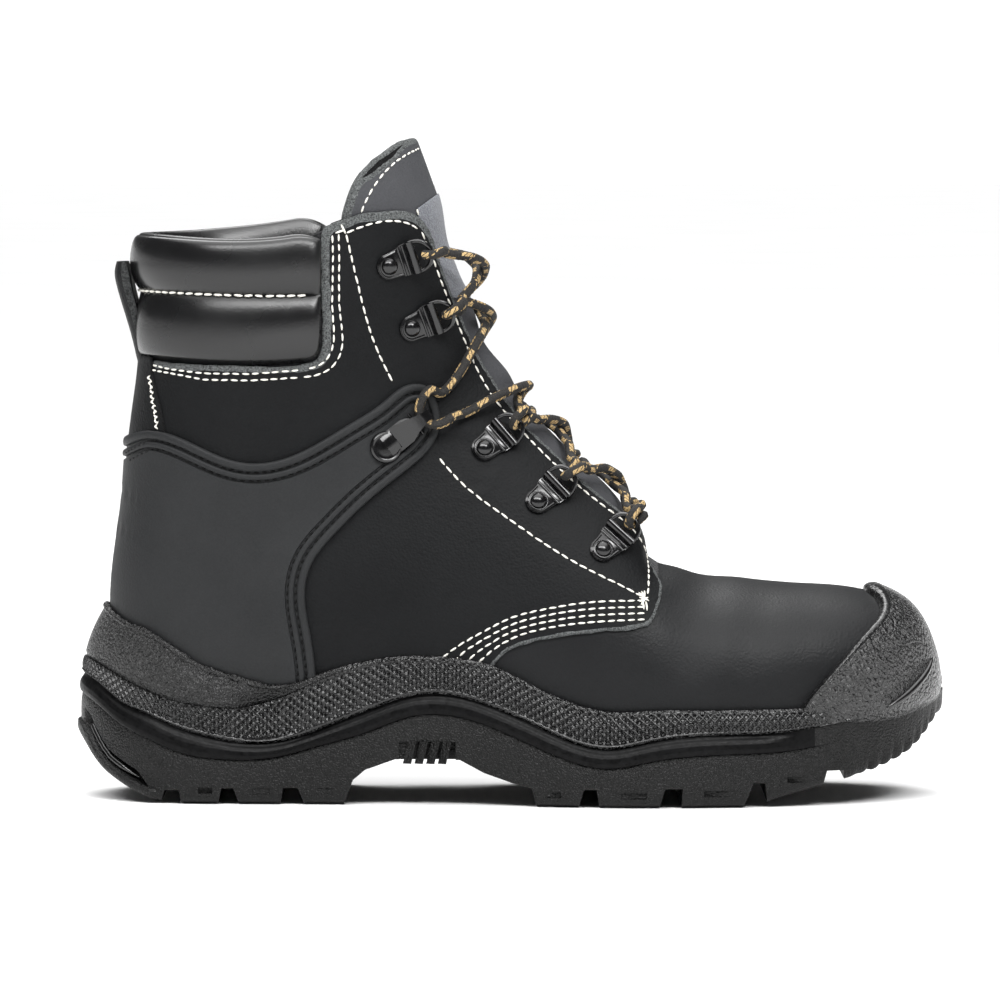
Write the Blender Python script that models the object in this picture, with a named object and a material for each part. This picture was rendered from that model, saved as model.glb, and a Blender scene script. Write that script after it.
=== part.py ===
"""Safety boot for the right foot: ankle high, laced, standing empty on its sole.

The tables are in millimetres and the meshes in metres.  +X points to the toe, +Y to the medial (inner)
side of the foot and +Z up.  The origin lies on the floor under the middle of the boot.
"""
import math
from collections import namedtuple

import bmesh
import bpy
import numpy as np
from mathutils import Vector
from mathutils.bvhtree import BVHTree

MM = 0.001

# Driving sizes
GAP = 0.3
UPPER_WALL = 2.0
QUARTER_STEP = 1.4
COUNTER_THICK = 1.6
COUNTER_BORDER = 0.9
BORDER_WIDTH = 5.0
BUMPER_THICK = 3.6
TONGUE_THICK = 3.6
INSOLE_RISE = 0.5
LACE_RADIUS = 2.0
CORE_INSET = 13.0
LIP_CLEAR = 1.5

# Reach of the cutting tools past the boot
SIDE_REACH = 95.0
BELOW_FLOOR = -4.0

# Facets: rings along the last, points around each ring, points along half of the sole's outline
LAST_RINGS = 26
LAST_AROUND = 24
FINE = 6
SOLE_STATIONS = 29

# The last, toe to collar: each row is one section, cut by the plane through its top and bottom points
Section = namedtuple("Section", "top_x top_z bottom_x bottom_z lateral medial widest top_power bottom_power")
TOE_TIP = Section(150.5, 40.0, 150.5, 40.0, -7.0, 7.0, 0.40, 2.4, 2.6)
SECTIONS = (
    Section(148.0, 53.0, 148.0, 33.5, 10.0, 23.0, 0.40, 2.4, 2.6),
    Section(142.0, 64.5, 142.0, 30.0, 22.0, 33.0, 0.38, 2.5, 3.0),
    Section(132.0, 71.0, 132.5, 27.0, 33.0, 41.0, 0.36, 2.6, 3.4),
    Section(118.0, 74.2, 119.0, 24.5, 40.5, 46.0, 0.34, 2.5, 3.8),
    Section(98.0, 75.5, 100.0, 22.0, 46.0, 49.0, 0.33, 2.3, 4.0),
    Section(76.0, 77.6, 78.0, 20.5, 49.0, 49.5, 0.33, 2.15, 4.0),
    Section(60.0, 81.0, 58.0, 20.0, 49.8, 48.5, 0.33, 2.1, 4.0),
    Section(50.0, 90.5, 40.0, 20.3, 49.3, 46.0, 0.34, 2.05, 4.0),
    Section(41.0, 105.3, 16.0, 21.5, 47.0, 42.5, 0.36, 2.0, 4.0),
    Section(28.6, 118.6, -14.0, 24.7, 43.0, 39.5, 0.37, 2.0, 3.8),
    Section(15.5, 131.2, -49.0, 28.2, 40.0, 37.5, 0.37, 2.0, 3.5),
    Section(5.0, 142.8, -86.0, 30.0, 38.0, 36.7, 0.35, 2.0, 3.2),
    Section(-1.0, 151.5, -117.0, 32.0, 37.0, 36.5, 0.32, 2.0, 2.8),
    Section(-4.8, 158.0, -134.0, 41.0, 36.2, 36.0, 0.30, 2.0, 2.4),
    Section(-8.0, 164.5, -140.3, 60.0, 35.8, 35.8, 0.30, 2.05, 2.2),
    Section(-11.5, 172.5, -140.2, 80.0, 36.0, 36.0, 0.32, 2.1, 2.2),
    Section(-15.6, 182.0, -137.0, 104.0, 36.6, 36.6, 0.36, 2.15, 2.2),
    Section(-19.4, 192.0, -134.9, 130.0, 37.2, 37.2, 0.42, 2.2, 2.2),
    Section(-22.6, 201.0, -132.2, 150.0, 37.5, 37.5, 0.46, 2.25, 2.2),
    Section(-25.4, 209.0, -131.0, 168.0, 37.6, 37.6, 0.48, 2.3, 2.2),
    Section(-28.4, 217.5, -131.0, 189.0, 37.8, 37.8, 0.50, 2.3, 2.2),
    Section(-32.4, 228.5, -132.0, 210.0, 38.0, 38.0, 0.50, 2.3, 2.2),
    Section(-39.0, 246.0, -134.0, 240.0, 38.4, 38.4, 0.50, 2.3, 2.2),
)

# The sole seen from above, toe to heel
Plan = namedtuple("Plan", "x lateral medial")
TOE_POINT = (155.0, 7.0)
HEEL_POINT = (-155.0, 1.0)
SOLE_PLAN = (
    Plan(149.0, 13.0, 27.0),
    Plan(138.0, 28.0, 40.5),
    Plan(120.0, 42.0, 50.0),
    Plan(95.0, 51.0, 55.0),
    Plan(66.0, 55.5, 56.0),
    Plan(38.0, 56.0, 52.5),
    Plan(8.0, 51.0, 45.0),
    Plan(-25.0, 45.5, 39.5),
    Plan(-60.0, 42.0, 38.5),
    Plan(-95.0, 40.5, 40.0),
    Plan(-125.0, 36.5, 37.0),
    Plan(-145.0, 22.0, 23.5),
)

# Floor line along the sole as (x, z), heel to toe: the lugs between its two level points stand on the floor
FLOOR_LINE = ((-156.0, 25.0), (-149.0, 12.2), (-140.0, 6.0), (-131.0, 1.8), (-126.0, 0.0), (86.0, 0.0),
              (94.0, 3.0), (112.0, 7.6), (130.0, 11.6), (144.0, 17.2), (156.0, 31.5))

# Heights along the sole, heel to toe: core between outsole and midsole, rib, band and lip
Level = namedtuple("Level", "x core rib_low rib_high band_top lip")
SOLE_LEVELS = (
    Level(-156.0, 27.0, 39.0, 47.0, 53.5, 73.0),
    Level(-149.0, 22.5, 36.2, 44.5, 51.0, 73.5),
    Level(-140.0, 19.0, 29.5, 37.2, 46.0, 70.5),
    Level(-130.0, 17.0, 23.8, 31.5, 41.0, 62.5),
    Level(-121.0, 16.0, 19.9, 27.5, 37.4, 56.4),
    Level(-110.0, 15.3, 17.2, 24.0, 35.3, 49.6),
    Level(-98.0, 15.0, 15.9, 21.5, 35.6, 45.0),
    Level(-83.0, 15.5, 16.6, 21.5, 38.8, 40.6),
    Level(-68.0, 17.0, 20.5, 26.3, 44.5, 45.4),
    Level(-52.0, 19.5, 25.2, 32.7, 49.0, 50.0),
    Level(-36.0, 21.0, 31.0, 38.2, 51.2, 52.0),
    Level(-20.0, 20.3, 31.2, 38.3, 50.4, 51.2),
    Level(-6.0, 18.0, 26.9, 34.0, 47.4, 48.2),
    Level(8.0, 14.8, 20.8, 28.0, 40.4, 41.2),
    Level(22.0, 12.8, 15.4, 22.0, 34.6, 35.3),
    Level(34.0, 12.0, 13.6, 20.1, 32.0, 32.7),
    Level(48.0, 12.0, 16.0, 22.7, 32.5, 33.2),
    Level(68.0, 12.5, 18.2, 25.0, 32.7, 33.4),
    Level(80.0, 13.2, 18.6, 25.3, 32.8, 33.5),
    Level(94.0, 14.5, 19.2, 25.8, 32.9, 33.6),
    Level(112.0, 17.0, 22.0, 28.5, 34.0, 34.7),
    Level(130.0, 20.5, 27.0, 32.5, 37.0, 38.0),
    Level(144.0, 24.5, 32.5, 36.5, 40.0, 41.5),
    Level(156.0, 34.0, 38.0, 41.0, 44.0, 46.0),
)

# Grooves between the lugs, seen from the side: a slot that is narrower at its roof
Groove = namedtuple("Groove", "mouth_from mouth_to roof_from roof_to roof_z")
GROOVES = (
    Groove(-126.0, -116.5, -123.0, -117.8, 8.5),
    Groove(-104.7, -95.0, -102.8, -98.6, 5.5),
    Groove(-82.5, -72.0, -81.0, -75.8, 5.7),
    Groove(22.0, 31.0, 25.0, 29.4, 6.2),
    Groove(50.3, 58.9, 53.4, 59.6, 6.6),
    Groove(79.5, 90.0, 84.5, 88.6, 8.4),
    Groove(106.0, 118.5, 110.6, 116.4, 12.2),
)
ARCH = ((-60.2, -2.0), (-56.3, 8.6), (-52.0, 12.2), (-41.5, 16.0), (-18.6, 16.0),
        (-10.0, 11.5), (1.5, 7.6), (6.6, 6.4), (9.0, -2.0))
Channel = namedtuple("Channel", "x_from x_to y width depth")
CHANNELS = (
    Channel(12.0, 104.0, -19.0, 6.0, 5.0),
    Channel(12.0, 108.0, 21.0, 6.0, 5.0),
    Channel(-118.0, -62.0, 0.0, 7.0, 5.0),
)
ARCH_RIBS = (-39.0, -33.8, -28.8, -23.8)
ARCH_RIB_WIDE = 2.2
ARCH_RIB_DEEP = 3.4
ARCH_RIB_TALL = 7.6
ARCH_RIB_FOOT = 15.4
ARCH_RIB_PROUD = 0.9

# Outsole wall: insets of its rings from the outline, and the slot around the heel
TREAD_INSET = 3.6
TREAD_ROUND = 2.4
WALL_INSET = 0.9
SLOT_EDGE_LOW = 0.5
SLOT_EDGE_HIGH = 0.3
WALL_TOP_INSET = 0.6
SLOT_FOOT = 6.0
SLOT_TALL = 3.2
SLOT_DEEP = 2.2
SLOT_ENDS = (-121.0, -127.0)

# Midsole: how far its lip stands off the last, its rib, and where toe bumper and heel cup take over
LIP_STAND_OFF = 2.8
HEEL_CUP_MORE = 2.2
HEEL_CUP_ENDS = (-58.0, -74.0)
TOE_LESS = 0.3
TOE_ENDS = (100.0, 118.0)
BAND_MORE = 0.8
HEEL_BAND_INSET = 1.8
HEEL_BAND_ENDS = (-84.0, -100.0)
RIB_FOOT_INSET = 0.6
RIB_PROUD = 0.4
RIB_SHOULDER = 0.2
RIB_GROOVE = 1.4
TOE_RIB_INSET = 0.3
RIB_GROOVE_TALL = 1.2
FIRST_INSET = 4.0
RAY_START = 40.0
SETTLE_ROUNDS = 5

# Outlines seen from the side, as (x, z)
FACING = ((57.0, 90.5), (50.0, 91.2), (45.3, 95.4), (33.9, 105.0), (23.9, 113.2), (15.4, 121.7),
          (6.2, 130.3), (-2.7, 141.6), (-12.3, 156.5), (-17.6, 168.2), (-24.0, 184.2), (-28.3, 198.0),
          (-31.8, 205.0), (-37.0, 208.3), (-45.0, 208.8), (-58.0, 206.5), (-66.0, 203.4))
COLLAR_TOP = ((-72.0, 200.4), (-84.0, 198.6), (-105.0, 198.0), (-122.0, 199.0), (-134.0, 201.0),
              (-160.0, 203.0))
QUARTER_FRONT = ((-7.0, 48.9), (-3.0, 54.2), (6.0, 58.4), (20.0, 61.2), (36.0, 62.6), (45.0, 63.2),
                 (49.5, 67.4), (51.4, 75.0), (51.8, 84.0), (50.3, 90.4))
COLLAR_WINDOW = ((-64.8, 215.0), (-64.6, 161.0), (-66.0, 155.4), (-71.0, 152.8), (-92.0, 152.2),
                 (-115.0, 152.6), (-136.0, 153.8), (-165.0, 154.2))
COUNTER_EDGE = ((-165.0, 121.0), (-139.6, 125.4), (-127.6, 130.8), (-120.0, 130.0), (-109.0, 125.4),
                (-97.0, 120.8), (-85.6, 120.6), (-71.8, 125.6), (-58.0, 133.8), (-46.0, 141.6),
                (-37.0, 147.6), (-31.6, 146.8), (-27.8, 141.0), (-26.0, 133.0), (-28.5, 125.8),
                (-39.0, 115.8), (-52.0, 105.4), (-63.5, 94.0), (-70.5, 85.0), (-73.0, 76.0),
                (-71.6, 62.0), (-69.6, 49.0))
BUMPER_EDGE = ((100.0, 29.0), (103.0, 34.6), (108.0, 41.6), (115.0, 49.6), (121.6, 58.0), (126.4, 65.0),
               (129.4, 70.5), (127.6, 75.0), (123.0, 78.5), (119.0, 88.0))
BUMPER_FOOT = ((172.0, 88.0), (172.0, 47.0), (156.0, 41.0), (144.0, 35.4), (130.0, 31.0), (112.0, 29.0))
TONGUE_EDGE = ((-34.0, 234.8), (-40.0, 233.4), (-46.0, 230.4), (-51.8, 224.6), (-56.4, 217.4),
               (-58.6, 206.5), (-56.0, 192.0), (-46.0, 168.0), (-28.0, 143.0), (-4.0, 120.0), (20.0, 102.0),
               (38.0, 88.0), (52.0, 77.0), (60.0, 70.0))
BOTTOM_EDGE = ((152.0, 35.0), (140.0, 31.0), (120.0, 27.6), (98.0, 25.4), (76.0, 23.7), (58.0, 23.2),
               (40.0, 23.5), (16.0, 24.8), (-14.0, 28.0), (-49.0, 31.5), (-86.0, 33.6), (-112.0, 35.0),
               (-134.0, 40.0))

# Collar pad: two rolls around the back of the shaft
PAD_BOTTOM = 156.2
PAD_SEAM = 178.0
PAD_TOP = 199.6
PAD_BULGE = 4.6
PAD_SEAM_BULGE = 1.6
PAD_EDGE = 0.9
PAD_END_SHARE = 0.35
PAD_AXIS_X = -88.0
PAD_FRONT_ANGLE = 63.0
PAD_COLUMNS = 21
PAD_ROWS = 4
PAD_GAP = 1.0

# Pull tab: a strip up the back of the heel, as (z, distance from the quarter, thickness)
TabRow = namedtuple("TabRow", "z stand_off thick")
TAB_WIDTH = 23.0
TAB_ROWS = (
    TabRow(132.0, 0.35, 1.2),
    TabRow(142.0, 0.35, 1.2),
    TabRow(152.0, 0.45, 1.6),
    TabRow(156.5, 2.4, 2.6),
    TabRow(161.0, 4.3, 2.8),
    TabRow(170.0, 5.0, 2.8),
    TabRow(180.0, 5.4, 2.8),
    TabRow(188.0, 5.7, 2.8),
    TabRow(191.3, 6.2, 2.0),
)

# Lacing hardware, bottom to top: rivet seen from the side, and the way its plate points, above level
Eyelet = namedtuple("Eyelet", "x z angle")
EYELETS = (
    Eyelet(32.0, 89.8, 50.0),
    Eyelet(9.3, 106.4, 45.0),
    Eyelet(-10.1, 125.2, 42.0),
    Eyelet(-36.6, 167.4, 20.0),
    Eyelet(-44.4, 189.3, 18.0),
)
HOOK = Eyelet(-45.3, 125.1, 38.0)
PLATE_THICK = 1.0
PLATE_END_RADIUS = 3.9
PLATE_BAR_AT = 9.0
PLATE_BAR_WIDTH = 9.6
BARREL_RADIUS = 1.5
RIVET_RADIUS = 2.9
RIVET_HEIGHT = 1.3
RING_WIRE = 0.75
RING_REACH = 7.0
RING_TILT = 28.0
RING_PLAY = 0.3
BARREL_OVERHANG = 0.6
PLATE_CLEAR = 0.1
HOOK_WIDTH = 8.0
HOOK_REACH = 17.0
HOOK_THROAT = 2.7
HOOK_LIP = 7.5
HOOK_BASE_RADIUS = 5.2
HOOK_BASE_FROM = 0.05
HOOK_BASE_RISE = 0.2
HOOK_RIVET_FROM = 0.5
HOOK_RIVET_HEIGHT = 2.3
HOOK_LIP_OUTER = 0.4
HOOK_LIP_INNER = 0.6

# Lace: where a crossing lies above the last, at its middle and over the facings
CROSS_MIDDLE = 0.5
CROSS_OVER_FACING = 4.4
CROSS_SLACK = 0.8
CROSS_TOP_SLACK = 5.0
CROSS_TRIM = 0.16
CROSS_RISE = (3.0, 15.0)
BAR_DROP = 2.0
RING_CLEAR = 6.4
HOOK_CLEAR = 9.5

Finish = namedtuple("Finish", "colour roughness metallic")
RUBBER = Finish((0.018, 0.018, 0.019), 0.78, 0.0)
FOAM = Finish((0.020, 0.020, 0.021), 0.70, 0.0)
LEATHER = Finish((0.028, 0.028, 0.029), 0.58, 0.0)
SMOOTH_LEATHER = Finish((0.018, 0.018, 0.019), 0.40, 0.0)
COUNTER_LEATHER = Finish((0.036, 0.037, 0.039), 0.55, 0.0)
BOARD = Finish((0.10, 0.10, 0.10), 0.90, 0.0)
METAL = Finish((0.012, 0.012, 0.013), 0.22, 1.0)
CORD = Finish((0.030, 0.026, 0.020), 0.80, 0.0)


def clear_scene():
    """Take away whatever the scene starts with."""
    for thing in list(bpy.data.objects):
        bpy.data.objects.remove(thing, do_unlink=True)


def material(name, finish):
    """A Principled material, made once per name."""
    if name in bpy.data.materials:
        return bpy.data.materials[name]
    made = bpy.data.materials.new(name)
    made.use_nodes = True
    shader = made.node_tree.nodes["Principled BSDF"]
    shader.inputs["Base Color"].default_value = (*finish.colour, 1.0)
    shader.inputs["Roughness"].default_value = finish.roughness
    shader.inputs["Metallic"].default_value = finish.metallic
    return made


def mesh_object(name, points, faces):
    """A closed mesh object from points in millimetres, with its faces pointing out."""
    mesh = bpy.data.meshes.new(name)
    mesh.from_pydata([tuple(np.asarray(p) * MM) for p in points], [], [tuple(f) for f in faces])
    shape = bmesh.new()
    shape.from_mesh(mesh)
    bmesh.ops.recalc_face_normals(shape, faces=shape.faces)
    shape.to_mesh(mesh)
    shape.free()
    made = bpy.data.objects.new(name, mesh)
    bpy.context.scene.collection.objects.link(made)
    return made


def combine(body, tool, operation):
    """Join, cut or intersect body with tool, and take tool away."""
    modifier = body.modifiers.new(operation, "BOOLEAN")
    modifier.operation = operation
    modifier.solver = "EXACT"
    modifier.object = tool
    bpy.context.view_layer.update()
    graph = bpy.context.evaluated_depsgraph_get()
    result = bpy.data.meshes.new_from_object(body.evaluated_get(graph))
    body.modifiers.clear()
    before = body.data
    body.data = result
    bpy.data.meshes.remove(before)
    bpy.data.objects.remove(tool, do_unlink=True)
    return body


def finish(body, name, slot, look, smooth_angle=40.0):
    """Name a finished piece, give it its material and shade its round faces smooth."""
    body.name = name
    body.data.name = name
    body.data.materials.clear()
    body.data.materials.append(material(slot, look))
    body.data.shade_smooth()
    body.data.set_sharp_from_angle(angle=math.radians(smooth_angle))
    return body


def smoothstep(low, high, value):
    """0 below low, 1 above high and an S curve between them."""
    t = np.clip((np.asarray(value, float) - low) / (high - low), 0.0, 1.0)
    return t * t * (3.0 - 2.0 * t)


def spline(knots, values, at):
    """Cubic spline with free ends through the rows of values at the knots."""
    knots = np.asarray(knots, float)
    values = np.asarray(values, float)
    count = len(knots)
    step = np.diff(knots)
    system = np.eye(count)
    right = np.zeros_like(values)
    for i in range(1, count - 1):
        system[i, i - 1] = step[i - 1]
        system[i, i] = 2.0 * (step[i - 1] + step[i])
        system[i, i + 1] = step[i]
        right[i] = 6.0 * ((values[i + 1] - values[i]) / step[i] - (values[i] - values[i - 1]) / step[i - 1])
    bend = np.linalg.solve(system, right)
    at = np.atleast_1d(np.asarray(at, float))
    span = np.clip(np.searchsorted(knots, at) - 1, 0, count - 2)
    width = step[span]
    shape = (-1,) + (1,) * (values.ndim - 1)
    after = ((knots[span + 1] - at) / width).reshape(shape)
    before = ((at - knots[span]) / width).reshape(shape)
    square = (width * width / 6.0).reshape(shape)
    curve = after * values[span] + before * values[span + 1]
    return curve + square * ((after ** 3 - after) * bend[span] + (before ** 3 - before) * bend[span + 1])


def chord(points):
    """Running length along a row of points."""
    steps = np.linalg.norm(np.diff(np.asarray(points, float), axis=0), axis=1)
    return np.concatenate([[0.0], np.cumsum(steps)])


def level(name, x):
    """Height of one line of the sole at the given x."""
    knots = [row.x for row in SOLE_LEVELS]
    return spline(knots, [getattr(row, name) for row in SOLE_LEVELS], np.clip(x, knots[0], knots[-1]))


def last_sections(count):
    """The section table blended into count + 1 sections at an even spacing, toe tip first."""
    mirrored = [
        Section(s.bottom_x, s.bottom_z, s.top_x, s.top_z, -s.medial, -s.lateral, *s[6:])
        for s in SECTIONS[1::-1]
    ]
    rows = np.array(mirrored + [TOE_TIP] + list(SECTIONS), float)
    knots = chord(rows[:, :6])
    first = len(mirrored)
    return spline(knots, rows, np.linspace(knots[first], knots[-1], count + 1))


def section_loop(row, count):
    """Points around one section, evenly spaced: over the top, down the lateral side and back."""
    top_x, top_z, bottom_x, bottom_z, lateral, medial, widest, top_power, bottom_power = row
    turn = np.linspace(0.0, math.pi, 161)
    up = np.cos(turn)
    out = np.abs(np.sin(turn))
    power = np.where(up >= 0.0, 2.0 / top_power, 2.0 / bottom_power)
    reach = np.where(up >= 0.0, 1.0 - widest, -widest)
    along = widest + reach * np.abs(up) ** power
    across = out ** power
    middle = 0.5 * (medial - lateral)
    half = 0.5 * (medial + lateral)
    arc = chord(np.stack([
        bottom_x + (top_x - bottom_x) * along,
        half * across,
        bottom_z + (top_z - bottom_z) * along,
    ], axis=1))
    even = np.linspace(0.0, arc[-1], count // 2 + 1)
    along = np.interp(even, arc, along)
    across = np.interp(even, arc, across)
    along = np.concatenate([along, along[-2:0:-1]])
    across = np.concatenate([-across, across[-2:0:-1]])
    return np.stack([
        bottom_x + (top_x - bottom_x) * along,
        middle + half * across,
        bottom_z + (top_z - bottom_z) * along,
    ], axis=1)


def last_surface(rings, around):
    """Points and outward normals of the last, as grids of rings by points around."""
    grid = np.stack([section_loop(row, around) for row in last_sections(rings)])
    along = np.gradient(grid, axis=0)
    turn = np.roll(grid, -1, axis=1) - np.roll(grid, 1, axis=1)
    normal = np.cross(along, turn)
    normal[0] = (1.0, 0.0, 0.0)
    size = np.linalg.norm(normal, axis=2, keepdims=True)
    return grid, normal / np.maximum(size, 1e-9)


DENSE_POINTS, DENSE_NORMALS = last_surface(LAST_RINGS * FINE, LAST_AROUND * FINE)
LAST_POINTS = DENSE_POINTS[::FINE, ::FINE]
LAST_NORMALS = DENSE_NORMALS[::FINE, ::FINE]


def last_mesh(offset):
    """The last as a closed mesh, grown by offset along its normals."""
    grid = LAST_POINTS + LAST_NORMALS * offset
    rings, around = grid.shape[0] - 1, grid.shape[1]
    points = [grid[0, 0]] + [p for ring in grid[1:] for p in ring]
    first = [1 + k for k in range(around)]
    faces = [(0, first[k], first[(k + 1) % around]) for k in range(around)]
    for r in range(rings - 1):
        base = 1 + r * around
        for k in range(around):
            step = (k + 1) % around
            if k < around // 2:
                faces.append((base + k, base + around + k, base + around + step))
                faces.append((base + k, base + around + step, base + step))
            else:
                faces.append((base + k, base + around + k, base + step))
                faces.append((base + around + k, base + around + step, base + step))
    points.append(grid[-1].mean(axis=0))
    base = 1 + (rings - 1) * around
    faces += [(base + k, len(points) - 1, base + (k + 1) % around) for k in range(around)]
    return points, faces


def last_form(offset):
    """The last as a closed object, grown by offset."""
    return mesh_object("form", *last_mesh(offset))


def last_tree(offset):
    """The grown last as a tree for rays, in millimetres."""
    points, faces = last_mesh(offset)
    return BVHTree.FromPolygons([tuple(p) for p in points], faces)


def surface_at(ring, turn, offset):
    """A point on the last between its grid lines; turn is signed, positive on the lateral side."""
    rings, around = DENSE_POINTS.shape[0] - 1, DENSE_POINTS.shape[1]
    r = min(max(ring, 0.0), rings - 1e-6)
    r0 = int(r)
    k0 = math.floor(turn)
    part_r, part_k = r - r0, turn - k0
    found = np.zeros(3)
    facing = np.zeros(3)
    for dr, wr in ((0, 1.0 - part_r), (1, part_r)):
        for dk, wk in ((0, 1.0 - part_k), (1, part_k)):
            found += wr * wk * DENSE_POINTS[r0 + dr, (k0 + dk) % around]
            facing += wr * wk * DENSE_NORMALS[r0 + dr, (k0 + dk) % around]
    return found + facing / np.linalg.norm(facing) * offset


def locate(x, z):
    """Ring and turn of the lateral surface point that the side view shows at (x, z)."""
    half = DENSE_POINTS.shape[1] // 2
    side = DENSE_POINTS[:, :half + 1]
    away = (side[..., 0] - x) ** 2 + (side[..., 2] - z) ** 2
    return np.unravel_index(np.argmin(away), away.shape)


def side_prism(outline):
    """A prism across the boot with the given outline in the side view."""
    count = len(outline)
    points = [(x, -SIDE_REACH, z) for x, z in outline] + [(x, SIDE_REACH, z) for x, z in outline]
    faces = [tuple(range(count)), tuple(range(count, 2 * count))]
    faces += [(i, (i + 1) % count, count + (i + 1) % count, count + i) for i in range(count)]
    return mesh_object("prism", points, faces)


def box(low, high):
    """A box between two corners, in millimetres."""
    points = [(x, y, z) for x in (low[0], high[0]) for y in (low[1], high[1]) for z in (low[2], high[2])]
    faces = ((0, 1, 3, 2), (4, 5, 7, 6), (0, 1, 5, 4), (2, 3, 7, 6), (0, 2, 6, 4), (1, 3, 7, 5))
    return mesh_object("box", points, faces)


def lip_line(x_from, x_to, rise, count):
    """Points of the sole's lip line in the side view, raised by rise."""
    xs = np.linspace(x_from, x_to, count)
    return [(x, z + rise) for x, z in zip(xs, level("lip", xs))]


def sole_outline():
    """Points and outward directions around the sole: toe, lateral side, heel, medial side."""
    lateral = [(row.x, -row.lateral) for row in SOLE_PLAN]
    medial = [(row.x, row.medial) for row in reversed(SOLE_PLAN)]
    loop = [TOE_POINT] + lateral + [HEEL_POINT] + medial
    wrap = 4
    closed = np.array(loop[-wrap:] + loop + loop[:wrap + 1], float)
    knots = chord(closed)
    toe, heel, end = knots[wrap], knots[wrap + len(lateral) + 1], knots[wrap + len(loop)]
    down = np.linspace(toe, heel, SOLE_STATIONS + 1)
    back = np.linspace(heel, end, SOLE_STATIONS + 1)
    at = np.concatenate([down[:-1], back[:-1]])
    points = spline(knots, closed, at)
    ahead = spline(knots, closed, at + 0.5) - spline(knots, closed, at - 0.5)
    out = np.stack([-ahead[:, 1], ahead[:, 0]], axis=1)
    if np.sum(out * points) < 0.0:
        out = -out
    return points, out / np.linalg.norm(out, axis=1, keepdims=True)


def ring_solid(name, rings):
    """A closed solid from rings of points that lie above each other, capped across the sole."""
    count = len(rings[0])
    half = count // 2
    points = [p for ring in rings for p in ring]
    faces = []
    for r in range(len(rings) - 1):
        base = r * count
        inward = np.ptp(rings[r][:, 1]) > np.ptp(rings[r + 1][:, 1])
        for k in range(count):
            step = (k + 1) % count
            a, b, c, d = base + k, base + step, base + count + step, base + count + k
            faces += [(a, b, c), (a, c, d)] if inward else [(a, b, d), (b, c, d)]
    for base in (0, (len(rings) - 1) * count):
        faces.append((base, base + 1, base + count - 1))
        for k in range(1, half - 1):
            a, b, c, d = base + k, base + k + 1, base + count - k - 1, base + count - k
            faces += [(a, b, c), (a, c, d)]
        faces.append((base + half - 1, base + half, base + half + 1))
    return mesh_object(name, points, faces)


def sole_ring(outline, inset, height):
    """One ring around the sole: its outline moved in by inset, at the given heights."""
    points, out = outline
    inner = points - out * np.broadcast_to(inset, len(points))[:, None]
    return np.column_stack([inner, np.broadcast_to(height, len(points))])


def core_ring(outline, rise):
    """The ring where outsole and midsole meet under the foot."""
    points, out = outline
    return sole_ring(outline, CORE_INSET, level("core", points[:, 0] - out[:, 0] * CORE_INSET) + rise)


def make_outsole(outline):
    """Outsole: wall with a heel slot, rounded toe and heel, arch, lugs and the ribs at the waist."""
    x = outline[0][:, 0]
    floor = np.interp(x, *zip(*FLOOR_LINE))
    top = level("rib_low", x) - 0.5 * GAP
    slot = SLOT_DEEP * smoothstep(*SLOT_ENDS, x)
    slot_low = np.minimum(floor + SLOT_FOOT, top - 3.0)
    slot_high = np.minimum(slot_low + SLOT_TALL, top - 1.0)
    body = ring_solid("outsole", [
        sole_ring(outline, TREAD_INSET, floor),
        sole_ring(outline, WALL_INSET, floor + TREAD_ROUND),
        sole_ring(outline, SLOT_EDGE_LOW, slot_low),
        sole_ring(outline, SLOT_EDGE_LOW + slot, 0.5 * (slot_low + slot_high)),
        sole_ring(outline, SLOT_EDGE_HIGH, slot_high),
        sole_ring(outline, WALL_TOP_INSET, top),
        core_ring(outline, 0.0),
    ])
    for groove in GROOVES:
        combine(body, side_prism((
            (groove.mouth_from, BELOW_FLOOR),
            (groove.roof_from, groove.roof_z),
            (groove.roof_to, groove.roof_z),
            (groove.mouth_to, BELOW_FLOOR),
        )), "DIFFERENCE")
    combine(body, side_prism(ARCH), "DIFFERENCE")
    for channel in CHANNELS:
        half = 0.5 * channel.width
        combine(body, box(
            (channel.x_from, channel.y - half, BELOW_FLOOR),
            (channel.x_to, channel.y + half, channel.depth),
        ), "DIFFERENCE")
    rows = {side: np.array([(row.x, side * getattr(row, name)) for row in SOLE_PLAN[::-1]])
            for side, name in ((-1.0, "lateral"), (1.0, "medial"))}
    for at in ARCH_RIBS:
        for side in (-1.0, 1.0):
            wall = np.interp(at, rows[side][:, 0], rows[side][:, 1])
            near = wall + side * ARCH_RIB_PROUD
            far = wall - side * (ARCH_RIB_DEEP - ARCH_RIB_PROUD)
            combine(body, box(
                (at - 0.5 * ARCH_RIB_WIDE, min(near, far), ARCH_RIB_FOOT),
                (at + 0.5 * ARCH_RIB_WIDE, max(near, far), ARCH_RIB_FOOT + ARCH_RIB_TALL),
            ), "UNION")
    return finish(body, "outsole", "outsole_rubber", RUBBER)


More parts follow.
